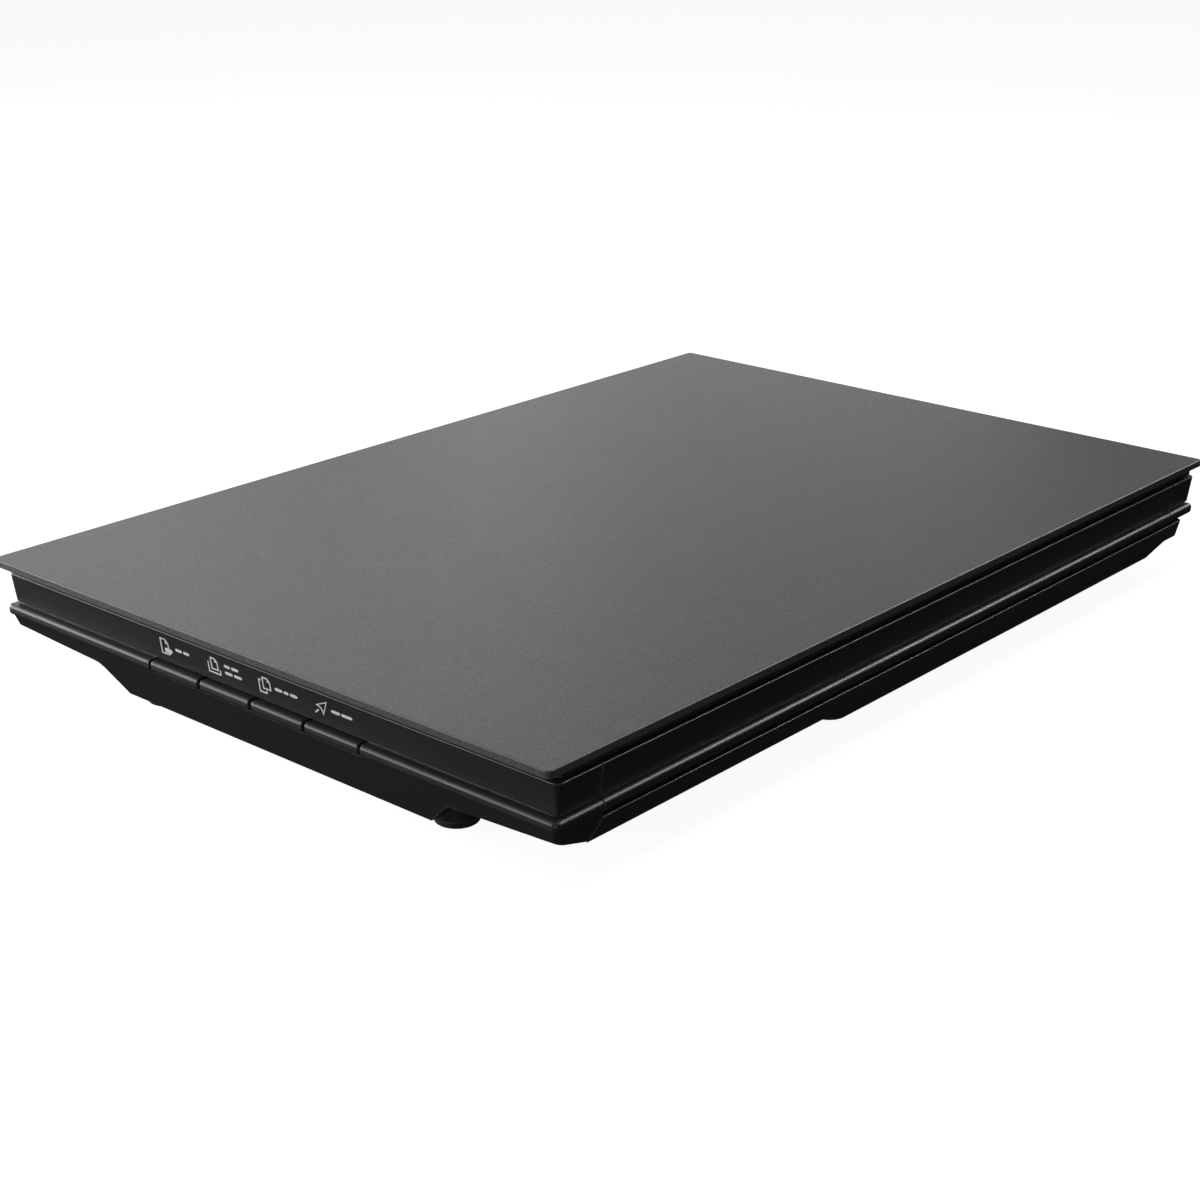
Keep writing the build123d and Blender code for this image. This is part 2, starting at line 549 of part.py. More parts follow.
with BuildPart() as calibration_strip:
    block(-BED_HALF_X + 0.2, BED_HALF_X - 0.2, GLASS_FRONT_Y + 0.5, BED_FRONT_Y - 0.6,
          GLASS_TOP_Z, GLASS_TOP_Z + TAPE_THICK - 0.02)

# ==== lid ================================================================================
with BuildPart() as lid_cover:
    extrude(plan(TOP_Z, LID_HALF_X, -LID_HALF_Y, LID_HALF_Y, LID_CORNER), amount=LID_SKIRT_Z - TOP_Z)
    fillet(top_edges(lid_cover, TOP_Z), LID_EDGE)
    with BuildSketch(Plane.YZ.offset(-LID_HALF_X)) as nose:
        with Locations((0, (TOP_Z + LID_SKIRT_Z) / 2)):
            Rectangle(2 * LID_HALF_Y, TOP_Z - LID_SKIRT_Z)
        fillet([v for v in nose.vertices() if v.Y < 0 and v.Z > LID_SKIRT_Z + 0.1], LID_NOSE_TOP)
        fillet([v for v in nose.vertices() if v.Y < 0 and v.Z < LID_SKIRT_Z + 0.1], LID_NOSE_LOW)
    extrude(amount=2 * LID_HALF_X, mode=Mode.INTERSECT)
    extrude(plan(LID_PANEL_Z, LID_HALF_X - LID_WALL, -LID_HALF_Y + LID_WALL, LID_HALF_Y - 1.0, TRAY_CORNER),
            amount=LID_SKIRT_Z - LID_PANEL_Z, mode=Mode.SUBTRACT)

with BuildPart() as lid_tray:
    extrude(plan(TRAY_TOP_Z, TRAY_HALF_X, TRAY_FRONT_Y, TRAY_REAR_Y, TRAY_CORNER), amount=TRAY_Z - TRAY_TOP_Z)
    fillet(top_edges(lid_tray, TRAY_Z), 0.4)
    extrude(plan(TRAY_Z, PAD_HALF_X + 1.0, PAD_FRONT_Y - 1.0, PAD_REAR_Y + 1.0, PAD_CORNER),
            amount=TRAY_TOP_Z - TRAY_FLOOR - TRAY_Z, mode=Mode.SUBTRACT)
    for side in (-1, 1):
        x = side * HINGE_X
        reach = LEG_WIDE / 2 + KNUCKLE_GAP
        block(x - reach - KNUCKLE_LONG - 0.6, x + reach + KNUCKLE_LONG + 0.6, LEG_Y - 5.0, LID_HALF_Y,
              TRAY_Z - 0.1, TRAY_TOP_Z + 0.1, Mode.SUBTRACT)
        for x0 in (x - reach - KNUCKLE_LONG, x + reach):
            rod_x(HINGE_Y, HINGE_Z, x0, x0 + KNUCKLE_LONG, BARREL_R)
            block(x0, x0 + KNUCKLE_LONG, LEG_Y - 5.5, HINGE_Y, HINGE_Z, HINGE_Z + BARREL_R)
            block(x0, x0 + KNUCKLE_LONG, LEG_Y - 5.5, HINGE_Y - 3.0, HINGE_Z, TRAY_TOP_Z)
        rod_x(HINGE_Y, HINGE_Z, x - 20.0, x + 20.0, PIN_R, Mode.SUBTRACT)

with BuildPart() as pad_foam:
    extrude(plan(PAD_BOTTOM_Z + SHEET_THICK, PAD_HALF_X, PAD_FRONT_Y, PAD_REAR_Y, PAD_CORNER),
            amount=TRAY_TOP_Z - TRAY_FLOOR - PAD_BOTTOM_Z - SHEET_THICK)

with BuildPart() as document_pad:
    extrude(plan(PAD_BOTTOM_Z, PAD_HALF_X, PAD_FRONT_Y, PAD_REAR_Y, PAD_CORNER), amount=SHEET_THICK)

# ==== hinges =============================================================================
with BuildPart() as hinge_pins:
    for side in (-1, 1):
        half = LEG_WIDE / 2 + KNUCKLE_GAP + KNUCKLE_LONG
        rod_x(HINGE_Y, HINGE_Z, side * HINGE_X - half, side * HINGE_X + half, PIN_R)


def hinge_leg(builder, x):
    """Flat leg that slides in the rear cover, with the hinge barrel at its head."""
    block(x - LEG_WIDE / 2, x + LEG_WIDE / 2, LEG_Y - LEG_THICK / 2, LEG_Y + LEG_THICK / 2,
          LEG_BOTTOM_Z, HINGE_Z + BARREL_R)
    fillet(builder.edges().filter_by(Axis.Z), 0.8)
    chamfer(top_edges(builder, LEG_BOTTOM_Z), 0.6)
    block(x - LEG_WIDE / 2, x + LEG_WIDE / 2, LEG_Y, HINGE_Y, HINGE_Z - BARREL_R, HINGE_Z + BARREL_R)
    rod_x(HINGE_Y, HINGE_Z, x - LEG_WIDE / 2, x + LEG_WIDE / 2, BARREL_R)
    rod_x(HINGE_Y, HINGE_Z, x - LEG_WIDE, x + LEG_WIDE, PIN_R + PIN_CLEAR, Mode.SUBTRACT)
    block(x - 3.5, x + 3.5, LEG_Y - LEG_THICK / 2 + 1.2, LEG_Y + LEG_THICK / 2 - 1.2,
          LEG_BOTTOM_Z, HINGE_Z - 4.0, Mode.SUBTRACT)


with BuildPart() as left_hinge_leg:
    hinge_leg(left_hinge_leg, -HINGE_X)

with BuildPart() as right_hinge_leg:
    hinge_leg(right_hinge_leg, HINGE_X)

# ==== buttons, switches and their board ==================================================
def button_centre(index):
    """X of the middle of one button of the row."""
    return (index - 1.5) * BUTTON_PITCH


def make_button(builder, x):
    """Segment of the bead with a flange and a stem behind the front wall."""
    half = BUTTON_PITCH / 2 - BUTTON_GAP / 2
    add(bead.part)
    block(x - half, x + half, BEAD_FRONT_Y, BUTTON_FLANGE_Y + 1.0, BEAD_BOTTOM_Z, BEAD_TOP_Z, Mode.INTERSECT)
    outer = [edge for edge in builder.edges() if edge.center().Y < BEAD_FRONT_Y + BEAD_ROUND]
    ends = [edge for edge in outer if abs(abs(edge.center().X - x) - half) < 0.01]
    fillet(ends, 0.5)
    block(x - half + 0.6, x + half - 0.6, BUTTON_FLANGE_Y, BUTTON_FLANGE_Y + 1.2,
          BEAD_BOTTOM_Z - 1.2, BEAD_TOP_Z + 1.2)
    block(x - 2.5, x + 2.5, BUTTON_FLANGE_Y, BUTTON_STEM_END_Y, BUTTON_Z - 1.6, BUTTON_Z + 1.6)


BUTTONS = {}
PLUNGERS = {}
for index, name in enumerate(BUTTON_NAMES):
    with BuildPart() as button:
        make_button(button, button_centre(index))
    BUTTONS[name + "_button"] = button
    with BuildPart() as plunger:
        rod_y(button_centre(index), BUTTON_Z, BUTTON_STEM_END_Y, PLUNGER_INNER_Y, PLUNGER_R)
    PLUNGERS[name + "_switch_plunger"] = plunger

with BuildPart() as switch_bodies:
    for index in range(len(BUTTON_NAMES)):
        x = button_centre(index)
        block(x - SWITCH_SIZE / 2, x + SWITCH_SIZE / 2, SWITCH_FRONT_Y, BUTTON_BOARD_Y,
              BUTTON_Z - SWITCH_SIZE / 2, BUTTON_Z + SWITCH_SIZE / 2)
        rod_y(x, BUTTON_Z, SWITCH_FRONT_Y, BUTTON_BOARD_Y - 1.6, PLUNGER_R + 0.08, Mode.SUBTRACT)

with BuildPart() as button_board:
    block(-BUTTON_BOARD_HALF_X, BUTTON_BOARD_HALF_X, BUTTON_BOARD_Y, BUTTON_BOARD_Y + BOARD_THICK,
          BUTTON_BOARD_LOW_Z, BUTTON_BOARD_HIGH_Z)
    for side in (-1, 1):
        rod_y(side * BUTTON_SCREW_X, BUTTON_SCREW_Z, BUTTON_BOARD_Y, BUTTON_BOARD_Y + BOARD_THICK,
              SMALL_SCREW_R + 0.4, Mode.SUBTRACT)

with BuildPart() as button_board_screws:
    for side in (-1, 1):
        x = side * BUTTON_SCREW_X
        back_y = BUTTON_BOARD_Y + BOARD_THICK
        rod_y(x, BUTTON_SCREW_Z, back_y, back_y + 1.3, SMALL_HEAD_R)
        rod_y(x, BUTTON_SCREW_Z, BUTTON_BOARD_Y - 5.0, back_y, SMALL_SCREW_R)
        block(x - 1.4, x + 1.4, back_y + 0.6, back_y + 2.0, BUTTON_SCREW_Z - 0.3, BUTTON_SCREW_Z + 0.3,
              Mode.SUBTRACT)

# ==== guide shaft and rack ===============================================================
with BuildPart() as guide_shaft:
    rod_y(SHAFT_X, SHAFT_Z, SHAFT_FRONT_Y, SHAFT_REAR_Y, SHAFT_R)
    chamfer(guide_shaft.edges().filter_by(GeomType.CIRCLE), 0.4)

with BuildPart() as shaft_clips:
    for y0 in (SHAFT_FRONT_Y, SHAFT_REAR_Y - POST_LONG):
        block(SHAFT_X - 6.0, SHAFT_X + 6.0, y0 + 0.3, y0 + POST_LONG - 0.3, SHAFT_Z, SHAFT_Z + SHAFT_R + 1.2)
    rod_y(SHAFT_X, SHAFT_Z, SHAFT_FRONT_Y, SHAFT_REAR_Y, SHAFT_R, Mode.SUBTRACT)

with BuildPart() as gear_rack:
    pitch = pi * MODULE
    tip_x = RACK_PITCH_X + ADDENDUM * MODULE
    root_x = RACK_PITCH_X - DEDENDUM * MODULE
    half_tooth = pitch / 4 - BACKLASH / 2
    tip_half = half_tooth - ADDENDUM * MODULE * tan(PRESSURE)
    root_half = half_tooth + DEDENDUM * MODULE * tan(PRESSURE)
    block(RACK_BACK_X, root_x, RACK_FRONT_Y, RACK_REAR_Y, BELLY_FLOOR_Z, RACK_TOP_Z)
    first = round((RACK_FRONT_Y - HOME_Y) / pitch) + 1.5
    count = int((RACK_REAR_Y - RACK_FRONT_Y) / pitch) - 2
    with BuildSketch(Plane.XY.offset(BELLY_FLOOR_Z)):
        for tooth in range(count):
            y = HOME_Y + (first + tooth) * pitch
            with BuildLine():
                Polyline((root_x - 0.2, y - root_half), (root_x, y - root_half), (tip_x, y - tip_half),
                         (tip_x, y + tip_half), (root_x, y + root_half), (root_x - 0.2, y + root_half),
                         close=True)
            make_face()
    extrude(amount=RACK_TOP_Z - BELLY_FLOOR_Z)

# ==== gears ==============================================================================
def polar(radius, angle):
    """Point at a radius and an angle in radians."""
    return (radius * cos(angle), radius * sin(angle))


def gear_outline(x, z, teeth, turn):
    """Involute spur gear on an upright axis at x, one tooth centred at the angle turn."""
    pitch_r = MODULE * teeth / 2
    base_r = pitch_r * cos(PRESSURE)
    tip_r = pitch_r + ADDENDUM * MODULE
    root_r = pitch_r - DEDENDUM * MODULE
    start_r = max(base_r, root_r)

    def spread(radius):
        angle = acos(min(1.0, base_r / radius))
        return tan(angle) - angle

    half_tooth = pi / (2 * teeth) - BACKLASH / (2 * pitch_r) + spread(pitch_r)
    radii = [start_r + (tip_r - start_r) * step / 3 for step in range(4)]
    with BuildSketch(Plane((x, HOME_Y, z))) as outline:
        with BuildLine():
            for tooth in range(teeth):
                middle = turn + 2 * pi * tooth / teeth
                rising = [polar(r, middle - half_tooth + spread(r)) for r in radii]
                falling = [polar(r, middle + half_tooth - spread(r)) for r in reversed(radii)]
                root_in = polar(root_r, middle - half_tooth)
                root_out = polar(root_r, middle + half_tooth)
                next_root = polar(root_r, middle + 2 * pi / teeth - half_tooth)
                if base_r > root_r:
                    Line(root_in, rising[0])
                    Line(falling[-1], root_out)
                else:
                    root_out = falling[-1]
                    next_root = polar(root_r, middle + 2 * pi / teeth - half_tooth + spread(root_r))
                Spline(*rising)
                ThreePointArc(rising[-1], polar(tip_r, middle), falling[0])
                Spline(*falling)
                ThreePointArc(root_out, polar(root_r, middle + pi / teeth), next_root)
        make_face()
    return outline.sketch


def gear(x, teeth, turn, z, thick):
    """Spur gear with an upright axis at x on the scan line's home."""
    extrude(gear_outline(x, z, teeth, turn), amount=thick)


with BuildPart() as reduction_gear:
    gear(WHEEL_X, RACK_GEAR_TEETH, 0.0, RACK_GEAR_Z, WHEEL_Z - RACK_GEAR_Z)
    gear(WHEEL_X, WHEEL_TEETH, 0.0, WHEEL_Z, WHEEL_THICK)
    with BuildSketch(Plane((WHEEL_X, HOME_Y, WHEEL_Z + WHEEL_THICK))):
        Circle(10.6)
        Circle(5.6, mode=Mode.SUBTRACT)
    extrude(amount=-0.8, mode=Mode.SUBTRACT)
    post(WHEEL_X, HOME_Y, RACK_GEAR_Z, WHEEL_Z + WHEEL_THICK, AXLE_R + 0.05, Mode.SUBTRACT)

with BuildPart() as motor_pinion:
    gear(PINION_X, PINION_TEETH, pi / PINION_TEETH, WHEEL_Z, WHEEL_THICK)
    post(PINION_X, HOME_Y, MOTOR_Z + MOTOR_TALL - 2.0, WHEEL_Z, AXLE_R)

with BuildPart() as gear_axle:
    post(WHEEL_X, HOME_Y, RACK_GEAR_Z - 0.4, DECK_Z + DECK_THICK, AXLE_R)
    post(WHEEL_X, HOME_Y, RACK_GEAR_Z - 0.8, RACK_GEAR_Z - 0.3, 1.8)

# ==== carriage ===========================================================================
with BuildPart() as carriage_frame:
    block(-DECK_HALF_X, DECK_HALF_X, HOME_Y - DECK_HALF_Y, HOME_Y + DECK_HALF_Y,
          DECK_Z, DECK_Z + DECK_THICK)
    for side in (-1, 1):
        x0, x1 = sorted((side * (DECK_HALF_X - CHEEK_THICK), side * DECK_HALF_X))
        block(x0, x1, HOME_Y - 6.0, HOME_Y + 6.0, DECK_Z, CHEEK_TOP_Z)
        post(side * SPRING_X, HOME_Y, SPRING_BOTTOM_Z - 0.6, DECK_Z + DECK_THICK, SPRING_R + 1.6)
        post(side * SPRING_X, HOME_Y, SPRING_BOTTOM_Z, DECK_Z + DECK_THICK, SPRING_R + 0.6, Mode.SUBTRACT)
    block(SHAFT_X - 6.5, SHAFT_X + 6.5, HOME_Y - 10.8, HOME_Y + 10.8, SHAFT_Z - 4.6, DECK_Z + DECK_THICK)
    rod_y(SHAFT_X, SHAFT_Z, HOME_Y - 11.0, HOME_Y + 11.0, BUSH_R, Mode.SUBTRACT)
    block(PINION_X - 8.0, PINION_X + 8.0, HOME_Y - MOTOR_EAR_Y - 2.4, HOME_Y + MOTOR_EAR_Y + 2.4,
          DECK_Z, DECK_Z + DECK_THICK)
    for side in (-1, 1):
        post(PINION_X, HOME_Y + side * MOTOR_EAR_Y, MOTOR_Z + MOTOR_TALL + 0.8, DECK_Z + DECK_THICK, 2.2)
        post(PINION_X, HOME_Y + side * MOTOR_EAR_Y, MOTOR_Z + MOTOR_TALL, DECK_Z, 0.9, Mode.SUBTRACT)
    post(WHEEL_X, HOME_Y, WHEEL_Z + WHEEL_THICK + 0.3, DECK_Z, 3.0)
    post(WHEEL_X, HOME_Y, RACK_GEAR_Z, DECK_Z + DECK_THICK, AXLE_R, Mode.SUBTRACT)
    for x in (-70.0, 70.0):
        with Locations((x, HOME_Y, DECK_Z)):
            Box(56.0, 8.0, 2 * DECK_THICK + 1.0, mode=Mode.SUBTRACT)

with BuildPart() as carriage_bushes:
    for y0 in (HOME_Y - 10.8, HOME_Y + 10.8 - BUSH_LONG):
        rod_y(SHAFT_X, SHAFT_Z, y0, y0 + BUSH_LONG, BUSH_R)
    rod_y(SHAFT_X, SHAFT_Z, HOME_Y - 12.0, HOME_Y + 12.0, BUSH_BORE_R, Mode.SUBTRACT)

with BuildPart() as stepper_motor:
    post(PINION_X, HOME_Y, MOTOR_Z, MOTOR_Z + MOTOR_TALL, MOTOR_R)
    fillet(stepper_motor.edges().filter_by(GeomType.CIRCLE), 0.5)
    with BuildSketch(Plane.XY.offset(MOTOR_Z + MOTOR_TALL)):
        with Locations((PINION_X, HOME_Y)):
            SlotCenterToCenter(2 * MOTOR_EAR_Y, 4.8, rotation=90)
            Circle(6.5)
            with Locations((0, MOTOR_EAR_Y), (0, -MOTOR_EAR_Y)):
                Circle(1.2, mode=Mode.SUBTRACT)
    extrude(amount=0.8)
    post(PINION_X, HOME_Y, MOTOR_Z + MOTOR_TALL - 2.1, MOTOR_Z + MOTOR_TALL + 0.8, AXLE_R + 0.08,
         Mode.SUBTRACT)

with BuildPart() as motor_screws:
    for side in (-1, 1):
        y = HOME_Y + side * MOTOR_EAR_Y
        post(PINION_X, y, MOTOR_Z + MOTOR_TALL - 1.2, MOTOR_Z + MOTOR_TALL, 2.0)
        post(PINION_X, y, MOTOR_Z + MOTOR_TALL, DECK_Z, 0.9)

with BuildPart() as sensor_housing:
    block(-SENSOR_HALF_X, SENSOR_HALF_X, HOME_Y - SENSOR_HALF_Y, HOME_Y + SENSOR_HALF_Y,
          SENSOR_BOTTOM_Z, SENSOR_TOP_Z)
    chamfer(sensor_housing.edges().filter_by(Axis.X), 0.8)
    block(-CHANNEL_HALF_X + 1.0, CHANNEL_HALF_X - 1.0, HOME_Y - 6.6, HOME_Y + 6.6,
          SENSOR_BOTTOM_Z, SENSOR_BOTTOM_Z + 3.4, Mode.SUBTRACT)
    block(-CHANNEL_HALF_X, CHANNEL_HALF_X, HOME_Y - LENS_HALF_Y, HOME_Y + LENS_HALF_Y,
          SENSOR_BOTTOM_Z, SENSOR_TOP_Z, Mode.SUBTRACT)
    block(-CHANNEL_HALF_X, CHANNEL_HALF_X, HOME_Y + GUIDE_Y - 1.8, HOME_Y + GUIDE_Y + 1.8,
          SENSOR_TOP_Z - 4.4, SENSOR_TOP_Z, Mode.SUBTRACT)
    for side in (-1, 1):
        post(side * SPRING_X, HOME_Y, SENSOR_BOTTOM_Z, SPRING_TOP_Z, SPRING_R + 0.6, Mode.SUBTRACT)

with BuildPart() as rod_lens_array:
    block(-CHANNEL_HALF_X + 0.2, CHANNEL_HALF_X - 0.2, HOME_Y - LENS_HALF_Y, HOME_Y + LENS_HALF_Y,
          SENSOR_BOTTOM_Z + 4.2, SENSOR_TOP_Z - 0.2)

with BuildPart() as light_guide:
    rod_x(HOME_Y + GUIDE_Y, SENSOR_TOP_Z - 2.6, -CHANNEL_HALF_X + 0.4, CHANNEL_HALF_X - 0.4, GUIDE_R)

with BuildPart() as sensor_board:
    block(-CHANNEL_HALF_X + 1.2, CHANNEL_HALF_X - 1.2, HOME_Y - 6.4, HOME_Y + 6.4,
          SENSOR_BOTTOM_Z + 1.4, SENSOR_BOTTOM_Z + 2.6)
    block(60.0, 78.0, HOME_Y - 2.6, HOME_Y + 2.6, SENSOR_BOTTOM_Z + 0.3, SENSOR_BOTTOM_Z + 1.4)

with BuildPart() as sensor_glides:
    for side in (-1, 1):
        x0, x1 = sorted((side * 110.4, side * 115.0))
        block(x0, x1, HOME_Y - 6.0, HOME_Y + 6.0, SENSOR_TOP_Z, GLASS_BOTTOM_Z - 0.05)

with BuildPart() as sensor_springs:
    for side in (-1, 1):
        coil = Helix(0.9, SPRING_TOP_Z - SPRING_BOTTOM_Z - 2 * SPRING_WIRE_R, SPRING_R,
                     center=(side * SPRING_X, HOME_Y, SPRING_BOTTOM_Z + SPRING_WIRE_R))
        with BuildSketch(Plane(coil @ 0, z_dir=coil % 0)):
            Circle(SPRING_WIRE_R)
        sweep(path=coil)

# ==== main board and cable socket ========================================================
with BuildPart() as main_board:
    block(BOARD_LEFT_X, BOARD_RIGHT_X, BOARD_FRONT_Y, BOARD_REAR_Y, BOARD_Z, BOARD_TOP_Z)
    for x, y in BOARD_HOLES:
        post(x, y, BOARD_Z, BOARD_TOP_Z, SMALL_SCREW_R + 0.5, Mode.SUBTRACT)

with BuildPart() as board_screws:
    for x, y in BOARD_HOLES:
        post(x, y, BOARD_TOP_Z, BOARD_TOP_Z + 1.2, SMALL_HEAD_R)
        post(x, y, BOARD_Z - 3.6, BOARD_TOP_Z, SMALL_SCREW_R)
        block(x - 1.4, x + 1.4, y - 0.3, y + 0.3, BOARD_TOP_Z + 0.6, BOARD_TOP_Z + 1.4, Mode.SUBTRACT)

with BuildPart() as controller_chips:
    block(-96.0, -82.0, 138.0, 152.0, BOARD_TOP_Z, BOARD_TOP_Z + 1.2)
    block(-101.0, -93.0, 129.0, 134.0, BOARD_TOP_Z, BOARD_TOP_Z + 1.0)
    block(-85.0, -79.0, 155.0, 160.0, BOARD_TOP_Z, BOARD_TOP_Z + 1.0)

with BuildPart() as board_connectors:
    block(-97.5, -84.5, BOARD_FRONT_Y + 1.0, BOARD_FRONT_Y + 5.0, BOARD_TOP_Z, BOARD_TOP_Z + 1.5)
    block(-78.0, -74.0, 137.0, 147.0, BOARD_TOP_Z, BOARD_TOP_Z + 1.5)
    block(CABLE_X - CABLE_WIDE / 2, CABLE_X + CABLE_WIDE / 2, BOARD_FRONT_Y - 1.0, BOARD_FRONT_Y + 2.2,
          BOARD_TOP_Z + 0.5, BOARD_TOP_Z + 0.9, Mode.SUBTRACT)

with BuildPart() as usb_shell:
    with BuildSketch(Plane.XZ.offset(-USB_MOUTH_Y)):
        with Locations((USB_X, BOARD_TOP_Z + USB_TALL / 2)):
            RectangleRounded(USB_WIDE, USB_TALL, 0.6)
    extrude(amount=USB_LONG)
    with BuildSketch(Plane.XZ.offset(-USB_MOUTH_Y)):
        with Locations((USB_X, BOARD_TOP_Z + USB_TALL / 2)):
            RectangleRounded(USB_WIDE - 0.7, USB_TALL - 0.7, 0.4)
    extrude(amount=USB_LONG - 0.5, mode=Mode.SUBTRACT)

with BuildPart() as usb_tongue:
    back_y = USB_MOUTH_Y - USB_LONG + 0.5
    block(USB_X - 2.2, USB_X + 2.2, back_y, USB_MOUTH_Y - 1.4,
          BOARD_TOP_Z + USB_TALL / 2 - 0.1, BOARD_TOP_Z + USB_TALL / 2 + 0.9)

with BuildPart() as flat_cable:
    with BuildSketch(Plane.YZ.offset(CABLE_X - CABLE_WIDE / 2)):
        with BuildLine():
            low_z = BELLY_FLOOR_Z + CABLE_Z_GAP
            run = Polyline((BOARD_FRONT_Y + 2.0, BOARD_TOP_Z + 0.7), (BOARD_FRONT_Y - 4.0, BOARD_TOP_Z + 0.7),
                           (BOARD_FRONT_Y - 12.0, low_z), (0.0, low_z))
            offset(run, amount=0.1, side=Side.BOTH)
        make_face()
    extrude(amount=CABLE_WIDE)

# ==== write the pieces ===================================================================
PIECES = {
    "upper_frame": upper_frame,
    "front_bezel": front_bezel,
    "rear_cover": rear_cover,
    "bottom_case": bottom_case,
    "rubber_feet": rubber_feet,
    "case_screws": case_screws,
    "platen_glass": platen_glass,
    "glass_tape": glass_tape,
    "calibration_strip": calibration_strip,
    "lid_cover": lid_cover,
    "lid_tray": lid_tray,
    "pad_foam": pad_foam,
    "document_pad": document_pad,
    "hinge_pins": hinge_pins,
    "left_hinge_leg": left_hinge_leg,
    "right_hinge_leg": right_hinge_leg,
    "switch_bodies": switch_bodies,
    "button_board": button_board,
    "button_board_screws": button_board_screws,
    "guide_shaft": guide_shaft,
    "shaft_clips": shaft_clips,
    "gear_rack": gear_rack,
    "reduction_gear": reduction_gear,
    "motor_pinion": motor_pinion,
    "gear_axle": gear_axle,
    "carriage_frame": carriage_frame,
    "carriage_bushes": carriage_bushes,
    "stepper_motor": stepper_motor,
    "motor_screws": motor_screws,
    "sensor_housing": sensor_housing,
    "rod_lens_array": rod_lens_array,
    "light_guide": light_guide,
    "sensor_board": sensor_board,
    "sensor_glides": sensor_glides,
    "sensor_springs": sensor_springs,
    "main_board": main_board,
    "board_screws": board_screws,
    "controller_chips": controller_chips,
    "board_connectors": board_connectors,
    "usb_shell": usb_shell,
    "usb_tongue": usb_tongue,
    "flat_cable": flat_cable,
}
PIECES.update(BUTTONS)
PIECES.update(PLUNGERS)

for piece_name, piece in PIECES.items():
    save(piece, piece_name)
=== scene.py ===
import json
import math

import bmesh
import bpy
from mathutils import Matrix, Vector
from mathutils.bvhtree import BVHTree


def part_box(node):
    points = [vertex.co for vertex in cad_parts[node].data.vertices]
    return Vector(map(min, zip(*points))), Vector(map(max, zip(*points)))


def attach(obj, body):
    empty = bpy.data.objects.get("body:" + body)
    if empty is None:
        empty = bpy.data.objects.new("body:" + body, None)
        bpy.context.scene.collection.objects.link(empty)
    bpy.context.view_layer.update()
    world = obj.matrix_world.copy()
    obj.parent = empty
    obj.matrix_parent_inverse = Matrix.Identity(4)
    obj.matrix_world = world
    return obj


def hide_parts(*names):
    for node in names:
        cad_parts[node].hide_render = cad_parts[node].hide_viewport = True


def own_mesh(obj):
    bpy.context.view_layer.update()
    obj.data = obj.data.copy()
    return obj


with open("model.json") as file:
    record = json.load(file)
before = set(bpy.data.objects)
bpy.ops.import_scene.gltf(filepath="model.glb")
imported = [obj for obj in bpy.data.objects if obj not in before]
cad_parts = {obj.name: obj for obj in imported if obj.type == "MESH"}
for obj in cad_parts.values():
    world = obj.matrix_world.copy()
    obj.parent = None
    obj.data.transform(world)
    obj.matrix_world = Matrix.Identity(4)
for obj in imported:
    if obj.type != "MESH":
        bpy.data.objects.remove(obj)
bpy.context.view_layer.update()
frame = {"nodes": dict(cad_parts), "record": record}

# Looks of the flatbed scanner: a finish for every node, the printed marks, the foam and the springs,
# then floor, lights and camera. Metres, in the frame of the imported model: +Z up, buttons towards -Y.
MM = 0.001
NODES = frame["nodes"]

# ---- camera --------------------------------------------------------------------------
CAMERA_AZIMUTH = math.radians(41.22)
CAMERA_ELEVATION = math.radians(20.79)
CAMERA_DISTANCE = 0.7318
CAMERA_TARGET = Vector((0.01578, -0.03868, 0.021))
LENS = 64.3
SENSOR = 36.0


# ==== node helpers ====================================================================
def new_material(name):
    """Empty node material with its output and a Principled shader."""
    material = bpy.data.materials.new(name)
    material.use_nodes = True
    tree = material.node_tree
    shader = tree.nodes["Principled BSDF"]
    return material, tree, shader


def object_point(tree):
    """Object coordinates, which stay with the piece as it moves."""
    return tree.nodes.new("ShaderNodeTexCoord").outputs["Object"]


def noise(tree, point, scale, detail=3.0, rough=0.55, stretch=None):
    """Noise value at a number of cells per metre."""
    if stretch:
        mapping = tree.nodes.new("ShaderNodeMapping")
        mapping.inputs["Scale"].default_value = stretch
        tree.links.new(point, mapping.inputs["Vector"])
        point = mapping.outputs["Vector"]
    node = tree.nodes.new("ShaderNodeTexNoise")
    node.inputs["Scale"].default_value = scale
    node.inputs["Detail"].default_value = detail
    node.inputs["Roughness"].default_value = rough
    tree.links.new(point, node.inputs["Vector"])
    return node.outputs["Fac"]


def cells(tree, point, scale):
    """Random value per small cell, for sparkle and speckle."""
    node = tree.nodes.new("ShaderNodeTexVoronoi")
    node.inputs["Scale"].default_value = scale
    tree.links.new(point, node.inputs["Vector"])
    split = tree.nodes.new("ShaderNodeSeparateColor")
    tree.links.new(node.outputs["Color"], split.inputs["Color"])
    return split.outputs["Red"]


def remap(tree, value, low, high, to_low, to_high):
    """Clamped linear change of range."""
    node = tree.nodes.new("ShaderNodeMapRange")
    for key, number in (("From Min", low), ("From Max", high), ("To Min", to_low), ("To Max", to_high)):
        node.inputs[key].default_value = number
    tree.links.new(value, node.inputs["Value"])
    return node.outputs["Result"]


def mix_colour(tree, factor, first, second):
    """Blend of two colours or colour sockets."""
    node = tree.nodes.new("ShaderNodeMix")
    node.data_type = "RGBA"
    tree.links.new(factor, node.inputs["Factor"])
    for key, colour in ((6, first), (7, second)):
        if isinstance(colour, bpy.types.NodeSocket):
            tree.links.new(colour, node.inputs[key])
        else:
            node.inputs[key].default_value = (*colour, 1.0)
    return node.outputs[2]


def grain_bump(tree, height, depth):
    """Normal from a height value, with a real depth in metres."""
    node = tree.nodes.new("ShaderNodeBump")
    node.inputs["Distance"].default_value = depth
    tree.links.new(height, node.inputs["Height"])
    return node.outputs["Normal"]


